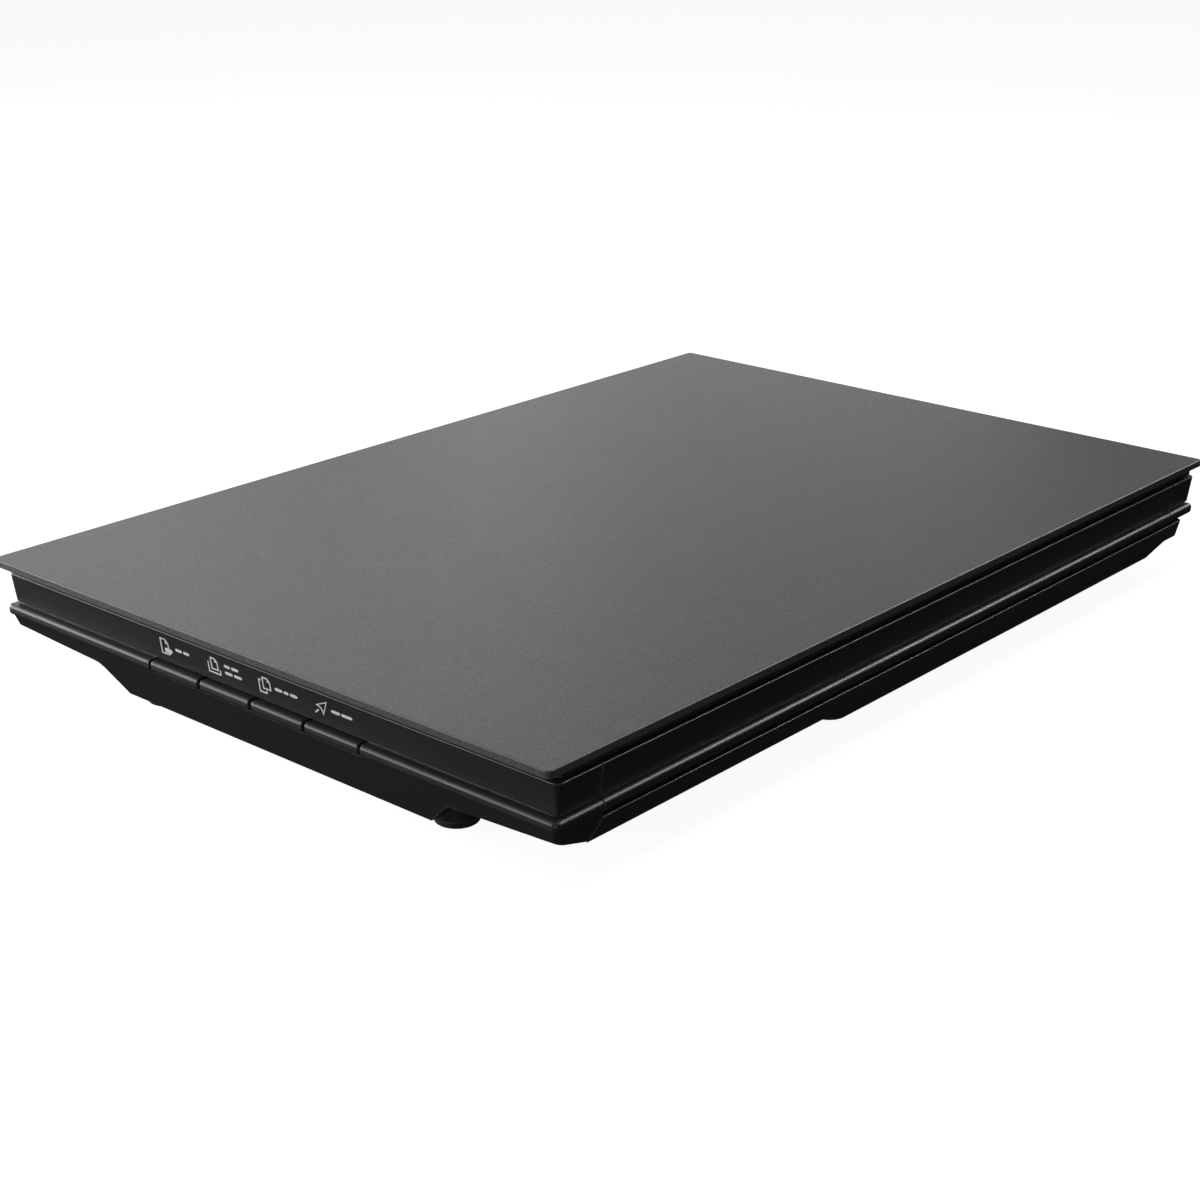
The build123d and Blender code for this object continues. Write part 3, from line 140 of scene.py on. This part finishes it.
def add_object(name, data, material=None):
    """Object made from mesh data and linked into the scene."""
    thing = bpy.data.objects.new(name, data)
    bpy.context.scene.collection.objects.link(thing)
    if material:
        data.materials.append(material)
    return thing


def edge_mask(tree, radius):
    """About 1 on convex and concave edges and 0 on open faces."""
    bevel = tree.nodes.new("ShaderNodeBevel")
    bevel.samples = 4
    bevel.inputs["Radius"].default_value = radius
    geometry = tree.nodes.new("ShaderNodeNewGeometry")
    dot = tree.nodes.new("ShaderNodeVectorMath")
    dot.operation = "DOT_PRODUCT"
    tree.links.new(bevel.outputs["Normal"], dot.inputs[0])
    tree.links.new(geometry.outputs["True Normal"], dot.inputs[1])
    return remap(tree, dot.outputs["Value"], 0.99, 0.75, 0.0, 1.0)


# ==== materials =======================================================================
# Edge lightening, partly rubbed wear and partly a painted highlight: the edge mask's bevel radius and the
# scale of its patches.
EDGE_WEAR_AND_HIGHLIGHT_RADIUS = 0.45 * MM
MOTTLE_SCALE = 55.0
EDGE_WEAR_AND_HIGHLIGHT_PATCH_SCALE = 240.0


def plastic(name, colour, rough, grain=2200.0, depth=0.012, speckle=0.12, wear_and_highlight=0.5, specular=0.5,
            wear_rough=-0.08, uneven=0.035):
    """Moulded plastic: spark-eroded grain, faint mottling, lighter edges that are partly rubbed wear and
    partly a painted highlight.

    grain is in cells per metre and depth in millimetres. speckle, the edge wear and painted highlight, and
    uneven are shares."""
    material, tree, shader = new_material(name)
    point = object_point(tree)
    mottled = noise(tree, point, MOTTLE_SCALE, 4.0)
    fine = noise(tree, point, grain, 2.0, 0.7)
    spots = cells(tree, point, grain * 0.9)
    darker = tuple(c * (1.0 - speckle) for c in colour)
    lighter = tuple(c * (1.0 + speckle) for c in colour)
    base = mix_colour(tree, spots, darker, lighter)
    blotches = remap(tree, mottled, 0.35, 0.7, 0.0, 8.0 * uneven)
    base = mix_colour(tree, blotches, base, tuple(c * 0.8 for c in colour))
    roughness = remap(tree, mottled, 0.3, 0.7, rough - uneven, rough + uneven)
    # Edges are lightened in the base colour: partly rubbed wear, partly a painted highlight along rims,
    # corners and seams.
    if wear_and_highlight > 0.0:
        patches = remap(tree, noise(tree, point, EDGE_WEAR_AND_HIGHLIGHT_PATCH_SCALE, 3.0), 0.35, 0.65, 0.35, 1.0)
        edge_wear_and_highlight = tree.nodes.new("ShaderNodeMath")
        edge_wear_and_highlight.operation = "MULTIPLY"
        tree.links.new(edge_mask(tree, EDGE_WEAR_AND_HIGHLIGHT_RADIUS), edge_wear_and_highlight.inputs[0])
        tree.links.new(patches, edge_wear_and_highlight.inputs[1])
        worn_and_highlit = tuple(min(1.0, c * (1.0 + wear_and_highlight) + 0.01 * wear_and_highlight) for c in colour)
        base = mix_colour(tree, edge_wear_and_highlight.outputs[0], base, worn_and_highlit)
        add = tree.nodes.new("ShaderNodeMath")
        add.operation = "MULTIPLY_ADD"
        add.inputs[1].default_value = wear_rough
        tree.links.new(edge_wear_and_highlight.outputs[0], add.inputs[0])
        tree.links.new(roughness, add.inputs[2])
        roughness = add.outputs[0]
    tree.links.new(base, shader.inputs["Base Color"])
    tree.links.new(roughness, shader.inputs["Roughness"])
    tree.links.new(grain_bump(tree, fine, depth * MM), shader.inputs["Normal"])
    shader.inputs["Specular IOR Level"].default_value = specular
    return material


def metal(name, colour, rough, brush=(1.0, 1.0, 1.0), scale=900.0, depth=0.004):
    """Plated or ground metal with fine scratches along one direction."""
    material, tree, shader = new_material(name)
    point = object_point(tree)
    lines = noise(tree, point, scale, 3.0, 0.6, brush)
    clouds = noise(tree, point, 120.0, 3.0)
    shader.inputs["Metallic"].default_value = 1.0
    cover = remap(tree, clouds, 0.3, 0.7, 0.0, 1.0)
    base = mix_colour(tree, cover, tuple(c * 0.85 for c in colour), colour)
    tree.links.new(base, shader.inputs["Base Color"])
    tree.links.new(remap(tree, lines, 0.3, 0.7, rough - 0.07, rough + 0.1), shader.inputs["Roughness"])
    tree.links.new(grain_bump(tree, lines, depth * MM), shader.inputs["Normal"])
    return material


def glass(name, tint, haze=0.02):
    """Flat pane: lets light straight through and reflects more at grazing angles."""
    material, tree, shader = new_material(name)
    clear = tree.nodes.new("ShaderNodeBsdfTransparent")
    clear.inputs["Color"].default_value = (*tint, 1.0)
    fresnel = tree.nodes.new("ShaderNodeFresnel")
    fresnel.inputs["IOR"].default_value = 1.5
    mixer = tree.nodes.new("ShaderNodeMixShader")
    shader.inputs["Base Color"].default_value = (0.02, 0.025, 0.022, 1.0)
    shader.inputs["Metallic"].default_value = 0.0
    smears = noise(tree, object_point(tree), 28.0, 4.0, 0.6, (1.0, 2.5, 1.0))
    tree.links.new(remap(tree, smears, 0.45, 0.75, haze, haze + 0.08), shader.inputs["Roughness"])
    shader.inputs["Specular IOR Level"].default_value = 1.0
    lift = remap(tree, fresnel.outputs["Fac"], 0.0, 1.0, 0.02, 1.0)
    output = tree.nodes["Material Output"]
    tree.links.new(lift, mixer.inputs["Fac"])
    tree.links.new(clear.outputs["BSDF"], mixer.inputs[1])
    tree.links.new(shader.outputs["BSDF"], mixer.inputs[2])
    tree.links.new(mixer.outputs["Shader"], output.inputs["Surface"])
    return material


def circuit_board(name):
    """Green solder mask over copper tracks."""
    material, tree, shader = new_material(name)
    point = object_point(tree)
    tracks = tree.nodes.new("ShaderNodeTexBrick")
    tracks.inputs["Scale"].default_value = 260.0
    tracks.inputs["Mortar Size"].default_value = 0.06
    tracks.inputs["Color1"].default_value = (0.02, 0.14, 0.06, 1.0)
    tracks.inputs["Color2"].default_value = (0.025, 0.17, 0.07, 1.0)
    tracks.inputs["Mortar"].default_value = (0.05, 0.26, 0.10, 1.0)
    tree.links.new(point, tracks.inputs["Vector"])
    clouds = noise(tree, point, 90.0, 3.0)
    shade = remap(tree, clouds, 0.35, 0.7, 0.0, 0.5)
    base = mix_colour(tree, shade, tracks.outputs["Color"], (0.015, 0.10, 0.045))
    tree.links.new(base, shader.inputs["Base Color"])
    tree.links.new(remap(tree, clouds, 0.3, 0.7, 0.25, 0.4), shader.inputs["Roughness"])
    tree.links.new(grain_bump(tree, tracks.outputs["Fac"], 0.03 * MM), shader.inputs["Normal"])
    return material


def foam(name, colour):
    """Open-cell foam: soft pores and a dull surface."""
    material, tree, shader = new_material(name)
    point = object_point(tree)
    pores = tree.nodes.new("ShaderNodeTexVoronoi")
    pores.inputs["Scale"].default_value = 1100.0
    tree.links.new(point, pores.inputs["Vector"])
    # The pore pits are painted darker, as painted shade in the foam's hollows.
    base = mix_colour(tree, remap(tree, pores.outputs["Distance"], 0.1, 0.6, 0.0, 1.0),
                      tuple(c * 0.45 for c in colour), colour)
    tree.links.new(base, shader.inputs["Base Color"])
    tree.links.new(remap(tree, pores.outputs["Distance"], 0.0, 0.6, 1.0, 0.85), shader.inputs["Roughness"])
    tree.links.new(grain_bump(tree, pores.outputs["Distance"], 0.15 * MM), shader.inputs["Normal"])
    shader.inputs["Sheen Weight"].default_value = 0.2
    return material


def ribbon(name):
    """White film with fine silver conductors along Y."""
    material, tree, shader = new_material(name)
    waves = tree.nodes.new("ShaderNodeTexWave")
    waves.bands_direction = "X"
    waves.inputs["Scale"].default_value = 320.0
    waves.inputs["Distortion"].default_value = 0.0
    tree.links.new(object_point(tree), waves.inputs["Vector"])
    stripes = remap(tree, waves.outputs["Fac"], 0.4, 0.6, 0.0, 1.0)
    base = mix_colour(tree, stripes, (0.72, 0.74, 0.76), (0.46, 0.48, 0.5))
    tree.links.new(base, shader.inputs["Base Color"])
    tree.links.new(remap(tree, waves.outputs["Fac"], 0.3, 0.7, 0.45, 0.28), shader.inputs["Roughness"])
    return material


def make_finishes():
    """Every material slot of the record with its finish."""
    across = (1.0, 0.04, 1.0)
    return {
        "lid_satin": plastic("lid_satin", (0.075, 0.075, 0.075), 0.46, 2000.0, 0.012, speckle=0.30, wear_and_highlight=0.9,
                             wear_rough=-0.12, uneven=0.008),
        # Edges lightened about tenfold: mostly a painted highlight along rims, corners, bead and seams, with
        # a little rubbed wear.
        "body_black": plastic("body_black", (0.020, 0.020, 0.020), 0.42, 2400.0, 0.006, wear_and_highlight=9.0,
                              wear_rough=-0.12),
        "tray_black": plastic("tray_black", (0.018, 0.018, 0.018), 0.50, 1800.0, 0.014, 0.12, 0.6),
        "button_black": plastic("button_black", (0.020, 0.020, 0.020), 0.42, 2800.0, 0.004, speckle=0.10,
                                wear_and_highlight=1.2, wear_rough=-0.04),
        "foot_rubber": plastic("foot_rubber", (0.022, 0.021, 0.020), 0.85, 900.0, 0.03, 0.25, 0.3, 0.3, 0.0),
        "screw_steel": metal("screw_steel", (0.50, 0.50, 0.51), 0.32),
        "platen": glass("platen", (0.90, 0.95, 0.93)),
        "tape_black": plastic("tape_black", (0.025, 0.025, 0.025), 0.6, 3000.0, 0.006, 0.2, 0.0),
        "white_strip": plastic("white_strip", (0.80, 0.80, 0.79), 0.55, 2500.0, 0.004, 0.03, 0.0),
        "foam_grey": foam("foam_grey", (0.24, 0.24, 0.25)),
        "white_sheet": plastic("white_sheet", (0.80, 0.80, 0.79), 0.38, 1500.0, 0.006, speckle=0.02,
                               wear_and_highlight=0.0, uneven=0.008),
        "pin_steel": metal("pin_steel", (0.60, 0.60, 0.61), 0.18, across),
        "leg_black": plastic("leg_black", (0.028, 0.028, 0.029), 0.38, 1600.0, 0.008, 0.12, 0.8),
        "switch_grey": plastic("switch_grey", (0.05, 0.05, 0.052), 0.42, 1800.0, 0.006, 0.1, 0.4),
        "board_green": circuit_board("board_green"),
        "rack_white": plastic("rack_white", (0.70, 0.69, 0.65), 0.40, 1400.0, 0.008, 0.04, 0.1),
        "gear_white": plastic("gear_white", (0.76, 0.75, 0.71), 0.36, 1400.0, 0.008, 0.04, 0.1),
        "carriage_grey": plastic("carriage_grey", (0.055, 0.055, 0.058), 0.45, 1600.0, 0.012, 0.15, 0.5),
        "bush_brass": metal("bush_brass", (0.62, 0.46, 0.22), 0.34, (1.0, 1.0, 1.0), 2200.0, 0.010),
        "motor_can": metal("motor_can", (0.55, 0.55, 0.56), 0.28),
        "sensor_black": plastic("sensor_black", (0.018, 0.018, 0.018), 0.42, 1800.0, 0.010, 0.12, 0.6),
        "lens_clear": glass("lens_clear", (0.55, 0.62, 0.62), 0.05),
        "guide_clear": glass("guide_clear", (0.86, 0.92, 0.93), 0.04),
        "chip_black": plastic("chip_black", (0.020, 0.020, 0.021), 0.55, 3000.0, 0.006, 0.2, 0.2),
        "connector_cream": plastic("connector_cream", (0.62, 0.57, 0.46), 0.45, 1600.0, 0.006, 0.05, 0.1),
        "usb_steel": metal("usb_steel", (0.68, 0.68, 0.70), 0.16, across),
        "cable_white": ribbon("cable_white"),
    }


FINISHES = make_finishes()
for subpart in frame["record"]["subparts"]:
    piece = NODES[subpart["node"]]
    piece.data.materials.clear()
    piece.data.materials.append(FINISHES[subpart["material_slot"]])

# ==== printed marks ===================================================================
INK_THICK = 0.03 * MM
INK_LIFT = 0.004 * MM
RAY_START = 5 * MM
LINE = 0.5 * MM


def print_white(name, colour):
    """Screen-printed ink: slightly uneven cover."""
    material, tree, shader = new_material(name)
    point = object_point(tree)
    cover = noise(tree, point, 1800.0, 3.0)
    base = mix_colour(tree, remap(tree, cover, 0.35, 0.7, 0.0, 1.0), tuple(c * 0.9 for c in colour), colour)
    tree.links.new(base, shader.inputs["Base Color"])
    tree.links.new(remap(tree, cover, 0.3, 0.7, 0.45, 0.6), shader.inputs["Roughness"])
    tree.links.new(grain_bump(tree, cover, 0.004 * MM), shader.inputs["Normal"])
    return material


def strip(points, width, closed=False):
    """Outline quads of a line of that width through 2-D points, with mitred corners."""
    count = len(points)
    left, right = [], []
    for i, point in enumerate(points):
        here = Vector(point)
        before = Vector(points[i - 1]) if i or closed else None
        after = Vector(points[(i + 1) % count]) if i < count - 1 or closed else None
        into = (here - before).normalized() if before is not None else (after - here).normalized()
        out = (after - here).normalized() if after is not None else into
        side = Vector((-into.y, into.x)) + Vector((-out.y, out.x))
        side *= width / max(side.dot(Vector((-into.y, into.x))), 0.4) / 2
        left.append(here + side)
        right.append(here - side)
    quads = []
    for i in range(count if closed else count - 1):
        j = (i + 1) % count
        quads.append([left[i], right[i], right[j], left[j]])
    return quads


def rounded_bar(x0, x1, y0, y1):
    """Plain bar with round ends, standing where a word would be."""
    radius = (y1 - y0) / 2
    steps = 6
    right = [(x1 - radius + radius * math.sin(math.pi * k / steps),
              y0 + radius - radius * math.cos(math.pi * k / steps)) for k in range(steps + 1)]
    left = [(x0 + radius - radius * math.sin(math.pi * k / steps),
             y0 + radius + radius * math.cos(math.pi * k / steps)) for k in range(steps + 1)]
    return [[Vector(p) for p in right + left]]


def page(x, y, wide, tall, fold):
    """Sheet outline with one corner turned over."""
    outline = [(x, y), (x + wide, y), (x + wide, y + tall - fold), (x + wide - fold, y + tall), (x, y + tall)]
    corner = [(x + wide - fold, y + tall), (x + wide - fold, y + tall - fold), (x + wide, y + tall - fold)]
    return strip(outline, LINE, True) + strip(corner, LINE)


def document_icon():
    """One page with a filled label at its foot."""
    return page(0.0, 0.0, 3.6 * MM, 5.0 * MM, 1.2 * MM) + rounded_bar(1.5 * MM, 5.2 * MM, 0.5 * MM, 2.1 * MM)


def scan_icon():
    """A page standing over a flat bed."""
    bed = strip([(0.0, 3.4 * MM), (0.0, 0.0), (5.4 * MM, 0.0), (5.4 * MM, 1.6 * MM)], LINE)
    return bed + page(1.5 * MM, 1.3 * MM, 2.9 * MM, 3.7 * MM, 1.0 * MM)


def copy_icon():
    """Two pages, one in front of the other."""
    outline = [(1.2, 4.0), (0.0, 4.0), (0.0, 0.0), (3.0, 0.0), (3.0, 0.9)]
    back = strip([(x * MM, y * MM) for x, y in outline], LINE)
    return back + page(1.8 * MM, 1.5 * MM, 3.2 * MM, 3.6 * MM, 1.0 * MM)


def send_icon():
    """An arrow leaving towards the upper right, with a trail."""
    outline = [(1.0, 3.0), (5.6, 5.0), (3.6, 0.6), (2.8, 2.5)]
    head = strip([(x * MM, y * MM) for x, y in outline], LINE, True)
    return head + strip([(0.0, 0.2 * MM), (1.7 * MM, 1.6 * MM)], LINE)


def inlay(name, faces, place, surface, normal, material, body):
    """Thin ink piece: the flat faces are laid on a surface and given their thickness.

    place turns a 2-D point into the frame; normal is the way the surface looks."""
    mesh = bmesh.new()
    tree = BVHTree.FromObject(surface, bpy.context.evaluated_depsgraph_get())
    for face in faces:
        corners = []
        for point in face:
            start = place(point) + normal * RAY_START
            hit = tree.ray_cast(start, -normal)[0]
            corners.append(hit + normal * INK_LIFT)
        low = [mesh.verts.new(c) for c in corners]
        high = [mesh.verts.new(c + normal * INK_THICK) for c in corners]
        mesh.faces.new(low[::-1])
        mesh.faces.new(high)
        for i in range(len(low)):
            j = (i + 1) % len(low)
            mesh.faces.new((low[i], low[j], high[j], high[i]))
    bmesh.ops.recalc_face_normals(mesh, faces=mesh.faces)
    data = bpy.data.meshes.new(name)
    mesh.to_mesh(data)
    mesh.free()
    piece = add_object(name, data, material)
    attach(piece, body)
    return piece


INK = print_white("ink_white", (0.88, 0.88, 0.88))
BAND_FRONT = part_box("front_bezel")[0].y
BAND_MIDDLE_Z = 31.0 * MM
ICON_TALL = 5.0 * MM
BAR_TALL = 1.0

# Per button: its pictogram, the left edge of the mark, and bars as start, end and foot, in millimetres.
LEGENDS = {
    "document": (document_icon, -43.7, [(7.0, 10.2, 2.2), (10.8, 13.8, 2.2)]),
    "auto_scan": (scan_icon, -20.8,
                  [(7.6, 10.4, 3.3), (11.0, 14.4, 3.3), (7.6, 11.2, 1.0), (11.8, 15.5, 1.0)]),
    "copy": (copy_icon, 2.9, [(7.0, 10.4, 2.2), (11.0, 13.2, 2.2), (13.8, 17.1, 2.2)]),
    "send": (send_icon, 27.4, [(7.2, 11.0, 2.2), (11.6, 16.2, 2.2)]),
}


def front_place(left):
    """Where a flat mark's points land on the front of the band, counted from the mark's left foot."""
    def place(point):
        return Vector((left + point[0], BAND_FRONT, BAND_MIDDLE_Z - ICON_TALL / 2 + point[1]))
    return place


for legend, (icon, left, bars) in LEGENDS.items():
    faces = icon()
    for x0, x1, y0 in bars:
        faces += rounded_bar(x0 * MM, x1 * MM, y0 * MM, (y0 + BAR_TALL) * MM)
    inlay(legend + "_legend", faces, front_place(left * MM), NODES["front_bezel"], Vector((0, -1, 0)),
          INK, "base")

# The glass opening's front edge and right edge, and the top of its frame, in millimetres.
BED_FRONT = -145.2
BED_RIGHT = 108.2
RIM_TOP = 36.0
PAPER_LENGTHS = (148.0, 210.0, 254.0, 279.4)
PAPER_WIDTHS = (105.0, 148.0, 203.0)
TICK_WIDE = 0.35
TICK_LONG = 2.4
SIDE_TICK_GAP = 1.6
FRONT_TICK_GAP = 1.8
ARROW_SIDE = 2.8
ARROW_FRONT_GAP = 0.6


def rectangle(x, y, wide, tall):
    """Corners of a rectangle from its left front corner."""
    return [(x, y), (x + wide, y), (x + wide, y + tall), (x, y + tall)]


def bed_marks():
    """Corner arrow and paper-size ticks beside the glass."""
    side_x = BED_RIGHT + SIDE_TICK_GAP
    arrow_y = BED_FRONT - ARROW_FRONT_GAP
    front_y = BED_FRONT - FRONT_TICK_GAP - TICK_LONG
    faces = [[(side_x, arrow_y), (side_x + ARROW_SIDE, arrow_y - ARROW_SIDE), (side_x, arrow_y - ARROW_SIDE)]]
    for length in PAPER_LENGTHS:
        faces.append(rectangle(side_x, BED_FRONT + length, TICK_LONG, TICK_WIDE))
    for width in PAPER_WIDTHS:
        faces.append(rectangle(BED_RIGHT - width, front_y, TICK_WIDE, TICK_LONG))
    return faces


def bed_place(point):
    """Where a flat mark's point lands on the top of the glass frame."""
    return Vector((point[0] * MM, point[1] * MM, RIM_TOP * MM))


inlay("paper_marks", bed_marks(), bed_place, NODES["upper_frame"], Vector((0, 0, 1)), INK, "base")


# ==== soft pad behind the white sheet =================================================
FOAM_GRID = (48, 66)
FOAM_ROWS = 3
FOAM_PINCH = 0.6 * MM
FOAM_INSET = 0.2 * MM
FOAM_WAVE = 0.12 * MM
SAME_PLACE = 1e-7


def foam_block(name, node, body, slot):
    """Foam slab with sunken, slightly uneven edges, in the room of its plain solid."""
    low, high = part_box(node)
    size = high - low
    mesh = bmesh.new()
    bmesh.ops.create_grid(mesh, x_segments=FOAM_GRID[0], y_segments=FOAM_GRID[1], size=0.5)
    for vertex in mesh.verts:
        x = low.x + (vertex.co.x + 0.5) * size.x
        y = low.y + (vertex.co.y + 0.5) * size.y
        vertex.co = Vector((x, y, low.z))
    rim = [edge for edge in mesh.edges if edge.is_boundary]
    base_faces = list(mesh.faces)
    for row in range(FOAM_ROWS):
        level = low.z + size.z * (row + 1) / FOAM_ROWS
        grown = bmesh.ops.extrude_edge_only(mesh, edges=rim)["geom"]
        for vertex in [g for g in grown if isinstance(g, bmesh.types.BMVert)]:
            vertex.co.z = level
        edges = [g for g in grown if isinstance(g, bmesh.types.BMEdge)]
        rim = [edge for edge in edges if all(abs(v.co.z - level) < SAME_PLACE for v in edge.verts)]
    top = bmesh.ops.duplicate(mesh, geom=base_faces)["geom"]
    for vertex in [g for g in top if isinstance(g, bmesh.types.BMVert)]:
        vertex.co.z = high.z
    bmesh.ops.remove_doubles(mesh, verts=mesh.verts, dist=SAME_PLACE)
    for vertex in mesh.verts:
        share = (vertex.co.z - low.z) / size.z
        uneven = FOAM_WAVE * math.sin(vertex.co.x * 310.0) * math.sin(vertex.co.y * 270.0 + 1.0)
        inward = FOAM_PINCH * math.sin(math.pi * share) + FOAM_INSET + abs(uneven)
        for axis in (0, 1):
            if vertex.co[axis] - low[axis] < 10 * SAME_PLACE:
                vertex.co[axis] += inward
            elif high[axis] - vertex.co[axis] < 10 * SAME_PLACE:
                vertex.co[axis] -= inward
    bmesh.ops.recalc_face_normals(mesh, faces=mesh.faces)
    data = bpy.data.meshes.new(name)
    mesh.to_mesh(data)
    mesh.free()
    for polygon in data.polygons:
        polygon.use_smooth = abs(polygon.normal.z) < 0.5
    piece = add_object(name, data, FINISHES[slot])
    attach(piece, body)
    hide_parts(node)
    return piece


foam_block("soft_foam_pad", "pad_foam", "lid", "foam_grey")


# ==== springs under the sensor ========================================================
SPRING_TURNS = 4.5
SPRING_STEPS = 108
WIRE_RADIUS = 0.2 * MM
WIRE_SIDES = 8
END_TURNS_CLOSED = 0.55


def coil_springs(name, node, body, slot):
    """Two wire coils with closed end turns, which stand in body."""
    low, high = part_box(node)
    tall = high.z - low.z
    middle_y = (low.y + high.y) / 2
    radius = (high.y - low.y) / 2 - WIRE_RADIUS
    rise = tall - 2 * WIRE_RADIUS
    up = Vector((0, 0, 1))
    verts, faces = [], []
    for x in (low.x + radius + WIRE_RADIUS, high.x - radius - WIRE_RADIUS):
        first = len(verts)
        last = first + SPRING_STEPS * WIRE_SIDES
        for i in range(SPRING_STEPS + 1):
            share = i / SPRING_STEPS
            turn = 2 * math.pi * SPRING_TURNS * share
            climb = share - END_TURNS_CLOSED * math.sin(2 * math.pi * share) / (2 * math.pi)
            out = Vector((math.cos(turn), math.sin(turn), 0.0))
            middle = Vector((x, middle_y, low.z + WIRE_RADIUS + rise * climb)) + out * radius
            for k in range(WIRE_SIDES):
                angle = 2 * math.pi * k / WIRE_SIDES
                verts.append(middle + WIRE_RADIUS * (out * math.cos(angle) + up * math.sin(angle)))
        for ring in range(first, last, WIRE_SIDES):
            for k in range(WIRE_SIDES):
                a = ring + k
                b = ring + (k + 1) % WIRE_SIDES
                faces.append((a, b, b + WIRE_SIDES, a + WIRE_SIDES))
        faces.append(list(range(first, first + WIRE_SIDES))[::-1])
        faces.append(list(range(last, last + WIRE_SIDES)))
    data = bpy.data.meshes.new(name)
    data.from_pydata(verts, [], faces)
    mesh = bmesh.new()
    mesh.from_mesh(data)
    bmesh.ops.recalc_face_normals(mesh, faces=mesh.faces)
    mesh.to_mesh(data)
    mesh.free()
    for polygon in data.polygons:
        polygon.use_smooth = len(polygon.vertices) == 4
    piece = add_object(name, data, FINISHES[slot])
    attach(piece, body)
    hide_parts(node)
    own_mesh(piece)
    return piece


coil_springs("coil_springs", "sensor_springs", "carriage", "pin_steel")


# ==== floor, light and camera =========================================================
FLOOR_HALF = 4.0
FLOOR_LEVEL = -0.3 * MM
FLOOR_GREY = 0.3
FLOOR_GLOW = 0.94


def make_floor():
    """Plain pale floor that glows evenly, takes a soft shadow and doesn't show in reflections."""
    signs = ((-1, -1), (1, -1), (1, 1), (-1, 1))
    corners = [(x * FLOOR_HALF, y * FLOOR_HALF, FLOOR_LEVEL) for x, y in signs]
    data = bpy.data.meshes.new("floor")
    data.from_pydata(corners, [], [(0, 1, 2, 3)])
    material, tree, shader = new_material("floor_pale")
    shader.inputs["Base Color"].default_value = (FLOOR_GREY, FLOOR_GREY, FLOOR_GREY, 1.0)
    shader.inputs["Roughness"].default_value = 1.0
    shader.inputs["Specular IOR Level"].default_value = 0.0
    shader.inputs["Emission Color"].default_value = (1.0, 1.0, 1.0, 1.0)
    shader.inputs["Emission Strength"].default_value = FLOOR_GLOW
    floor = add_object("floor", data, material)
    floor.visible_diffuse = False
    floor.visible_glossy = False
    floor.visible_transmission = False


# Softboxes by name: azimuth from the front towards the right and elevation in degrees, distance, width and
# height in metres, power in watts, and whether it lights dull surfaces too or only makes reflections.
LIGHTS = {
    "left_low": (288.0, 8.0, 1.3, 0.6, 0.6, 19.9, True),
    "front_left_low": (324.0, 8.0, 1.3, 0.6, 0.6, 7.7, True),
    "front_right_low": (36.0, 8.0, 1.3, 0.6, 0.6, 2.7, True),
    "rear_left_low": (216.0, 8.0, 1.3, 0.6, 0.6, 1.8, True),
    "left_rear": (252.0, 25.0, 1.3, 0.6, 0.6, 1.0, True),
    "rear": (180.0, 25.0, 1.3, 0.6, 0.6, 0.9, True),
    "near_left": (243.4, 33.7, 0.81, 0.5, 0.5, 1.1, True),
    "overhead": (90.0, 82.0, 1.3, 0.6, 0.6, 4.5, True),
    "rim_right": (153.0, 38.0, 1.3, 0.9, 0.4, 14.0, False),
    "rim_left": (300.0, 46.0, 1.3, 0.8, 0.3, 1.6, False),
}
LIGHT_AIM = Vector((0.0, 0.0, 0.03))
WORLD_GLOW = 0.017


def make_light(name, azimuth, elevation, distance, wide, tall, power, dull):
    """Rectangular softbox on a sphere round the object, looking at it."""
    data = bpy.data.lights.new(name, "AREA")
    data.shape = "RECTANGLE"
    data.size = wide
    data.size_y = tall
    data.energy = power
    light = bpy.data.objects.new(name, data)
    turn, rise = math.radians(azimuth), math.radians(elevation)
    light.location = distance * Vector((math.sin(turn) * math.cos(rise), -math.cos(turn) * math.cos(rise),
                                        math.sin(rise)))
    light.rotation_euler = (LIGHT_AIM - light.location).to_track_quat("-Z", "Y").to_euler()
    light.visible_diffuse = dull
    bpy.context.scene.collection.objects.link(light)


def make_world(strength):
    """Even dim grey all round."""
    world = bpy.data.worlds.new("studio")
    world.use_nodes = True
    background = world.node_tree.nodes["Background"]
    background.inputs["Color"].default_value = (1.0, 1.0, 1.0, 1.0)
    background.inputs["Strength"].default_value = strength
    bpy.context.scene.world = world


def make_camera():
    """Camera at the viewing angle, held upright."""
    data = bpy.data.cameras.new("camera")
    data.lens = LENS
    data.sensor_width = SENSOR
    data.clip_start = 0.01
    data.clip_end = 20.0
    camera = bpy.data.objects.new("camera", data)
    back = Vector((math.sin(CAMERA_AZIMUTH) * math.cos(CAMERA_ELEVATION),
                   -math.cos(CAMERA_AZIMUTH) * math.cos(CAMERA_ELEVATION), math.sin(CAMERA_ELEVATION)))
    camera.location = CAMERA_TARGET + back * CAMERA_DISTANCE
    camera.rotation_euler = (-back).to_track_quat("-Z", "Y").to_euler()
    bpy.context.scene.collection.objects.link(camera)
    bpy.context.scene.camera = camera


make_floor()
for light_name, settings in LIGHTS.items():
    make_light(light_name, *settings)
make_world(WORLD_GLOW)
make_camera()
bpy.context.scene.view_settings.view_transform = "Standard"
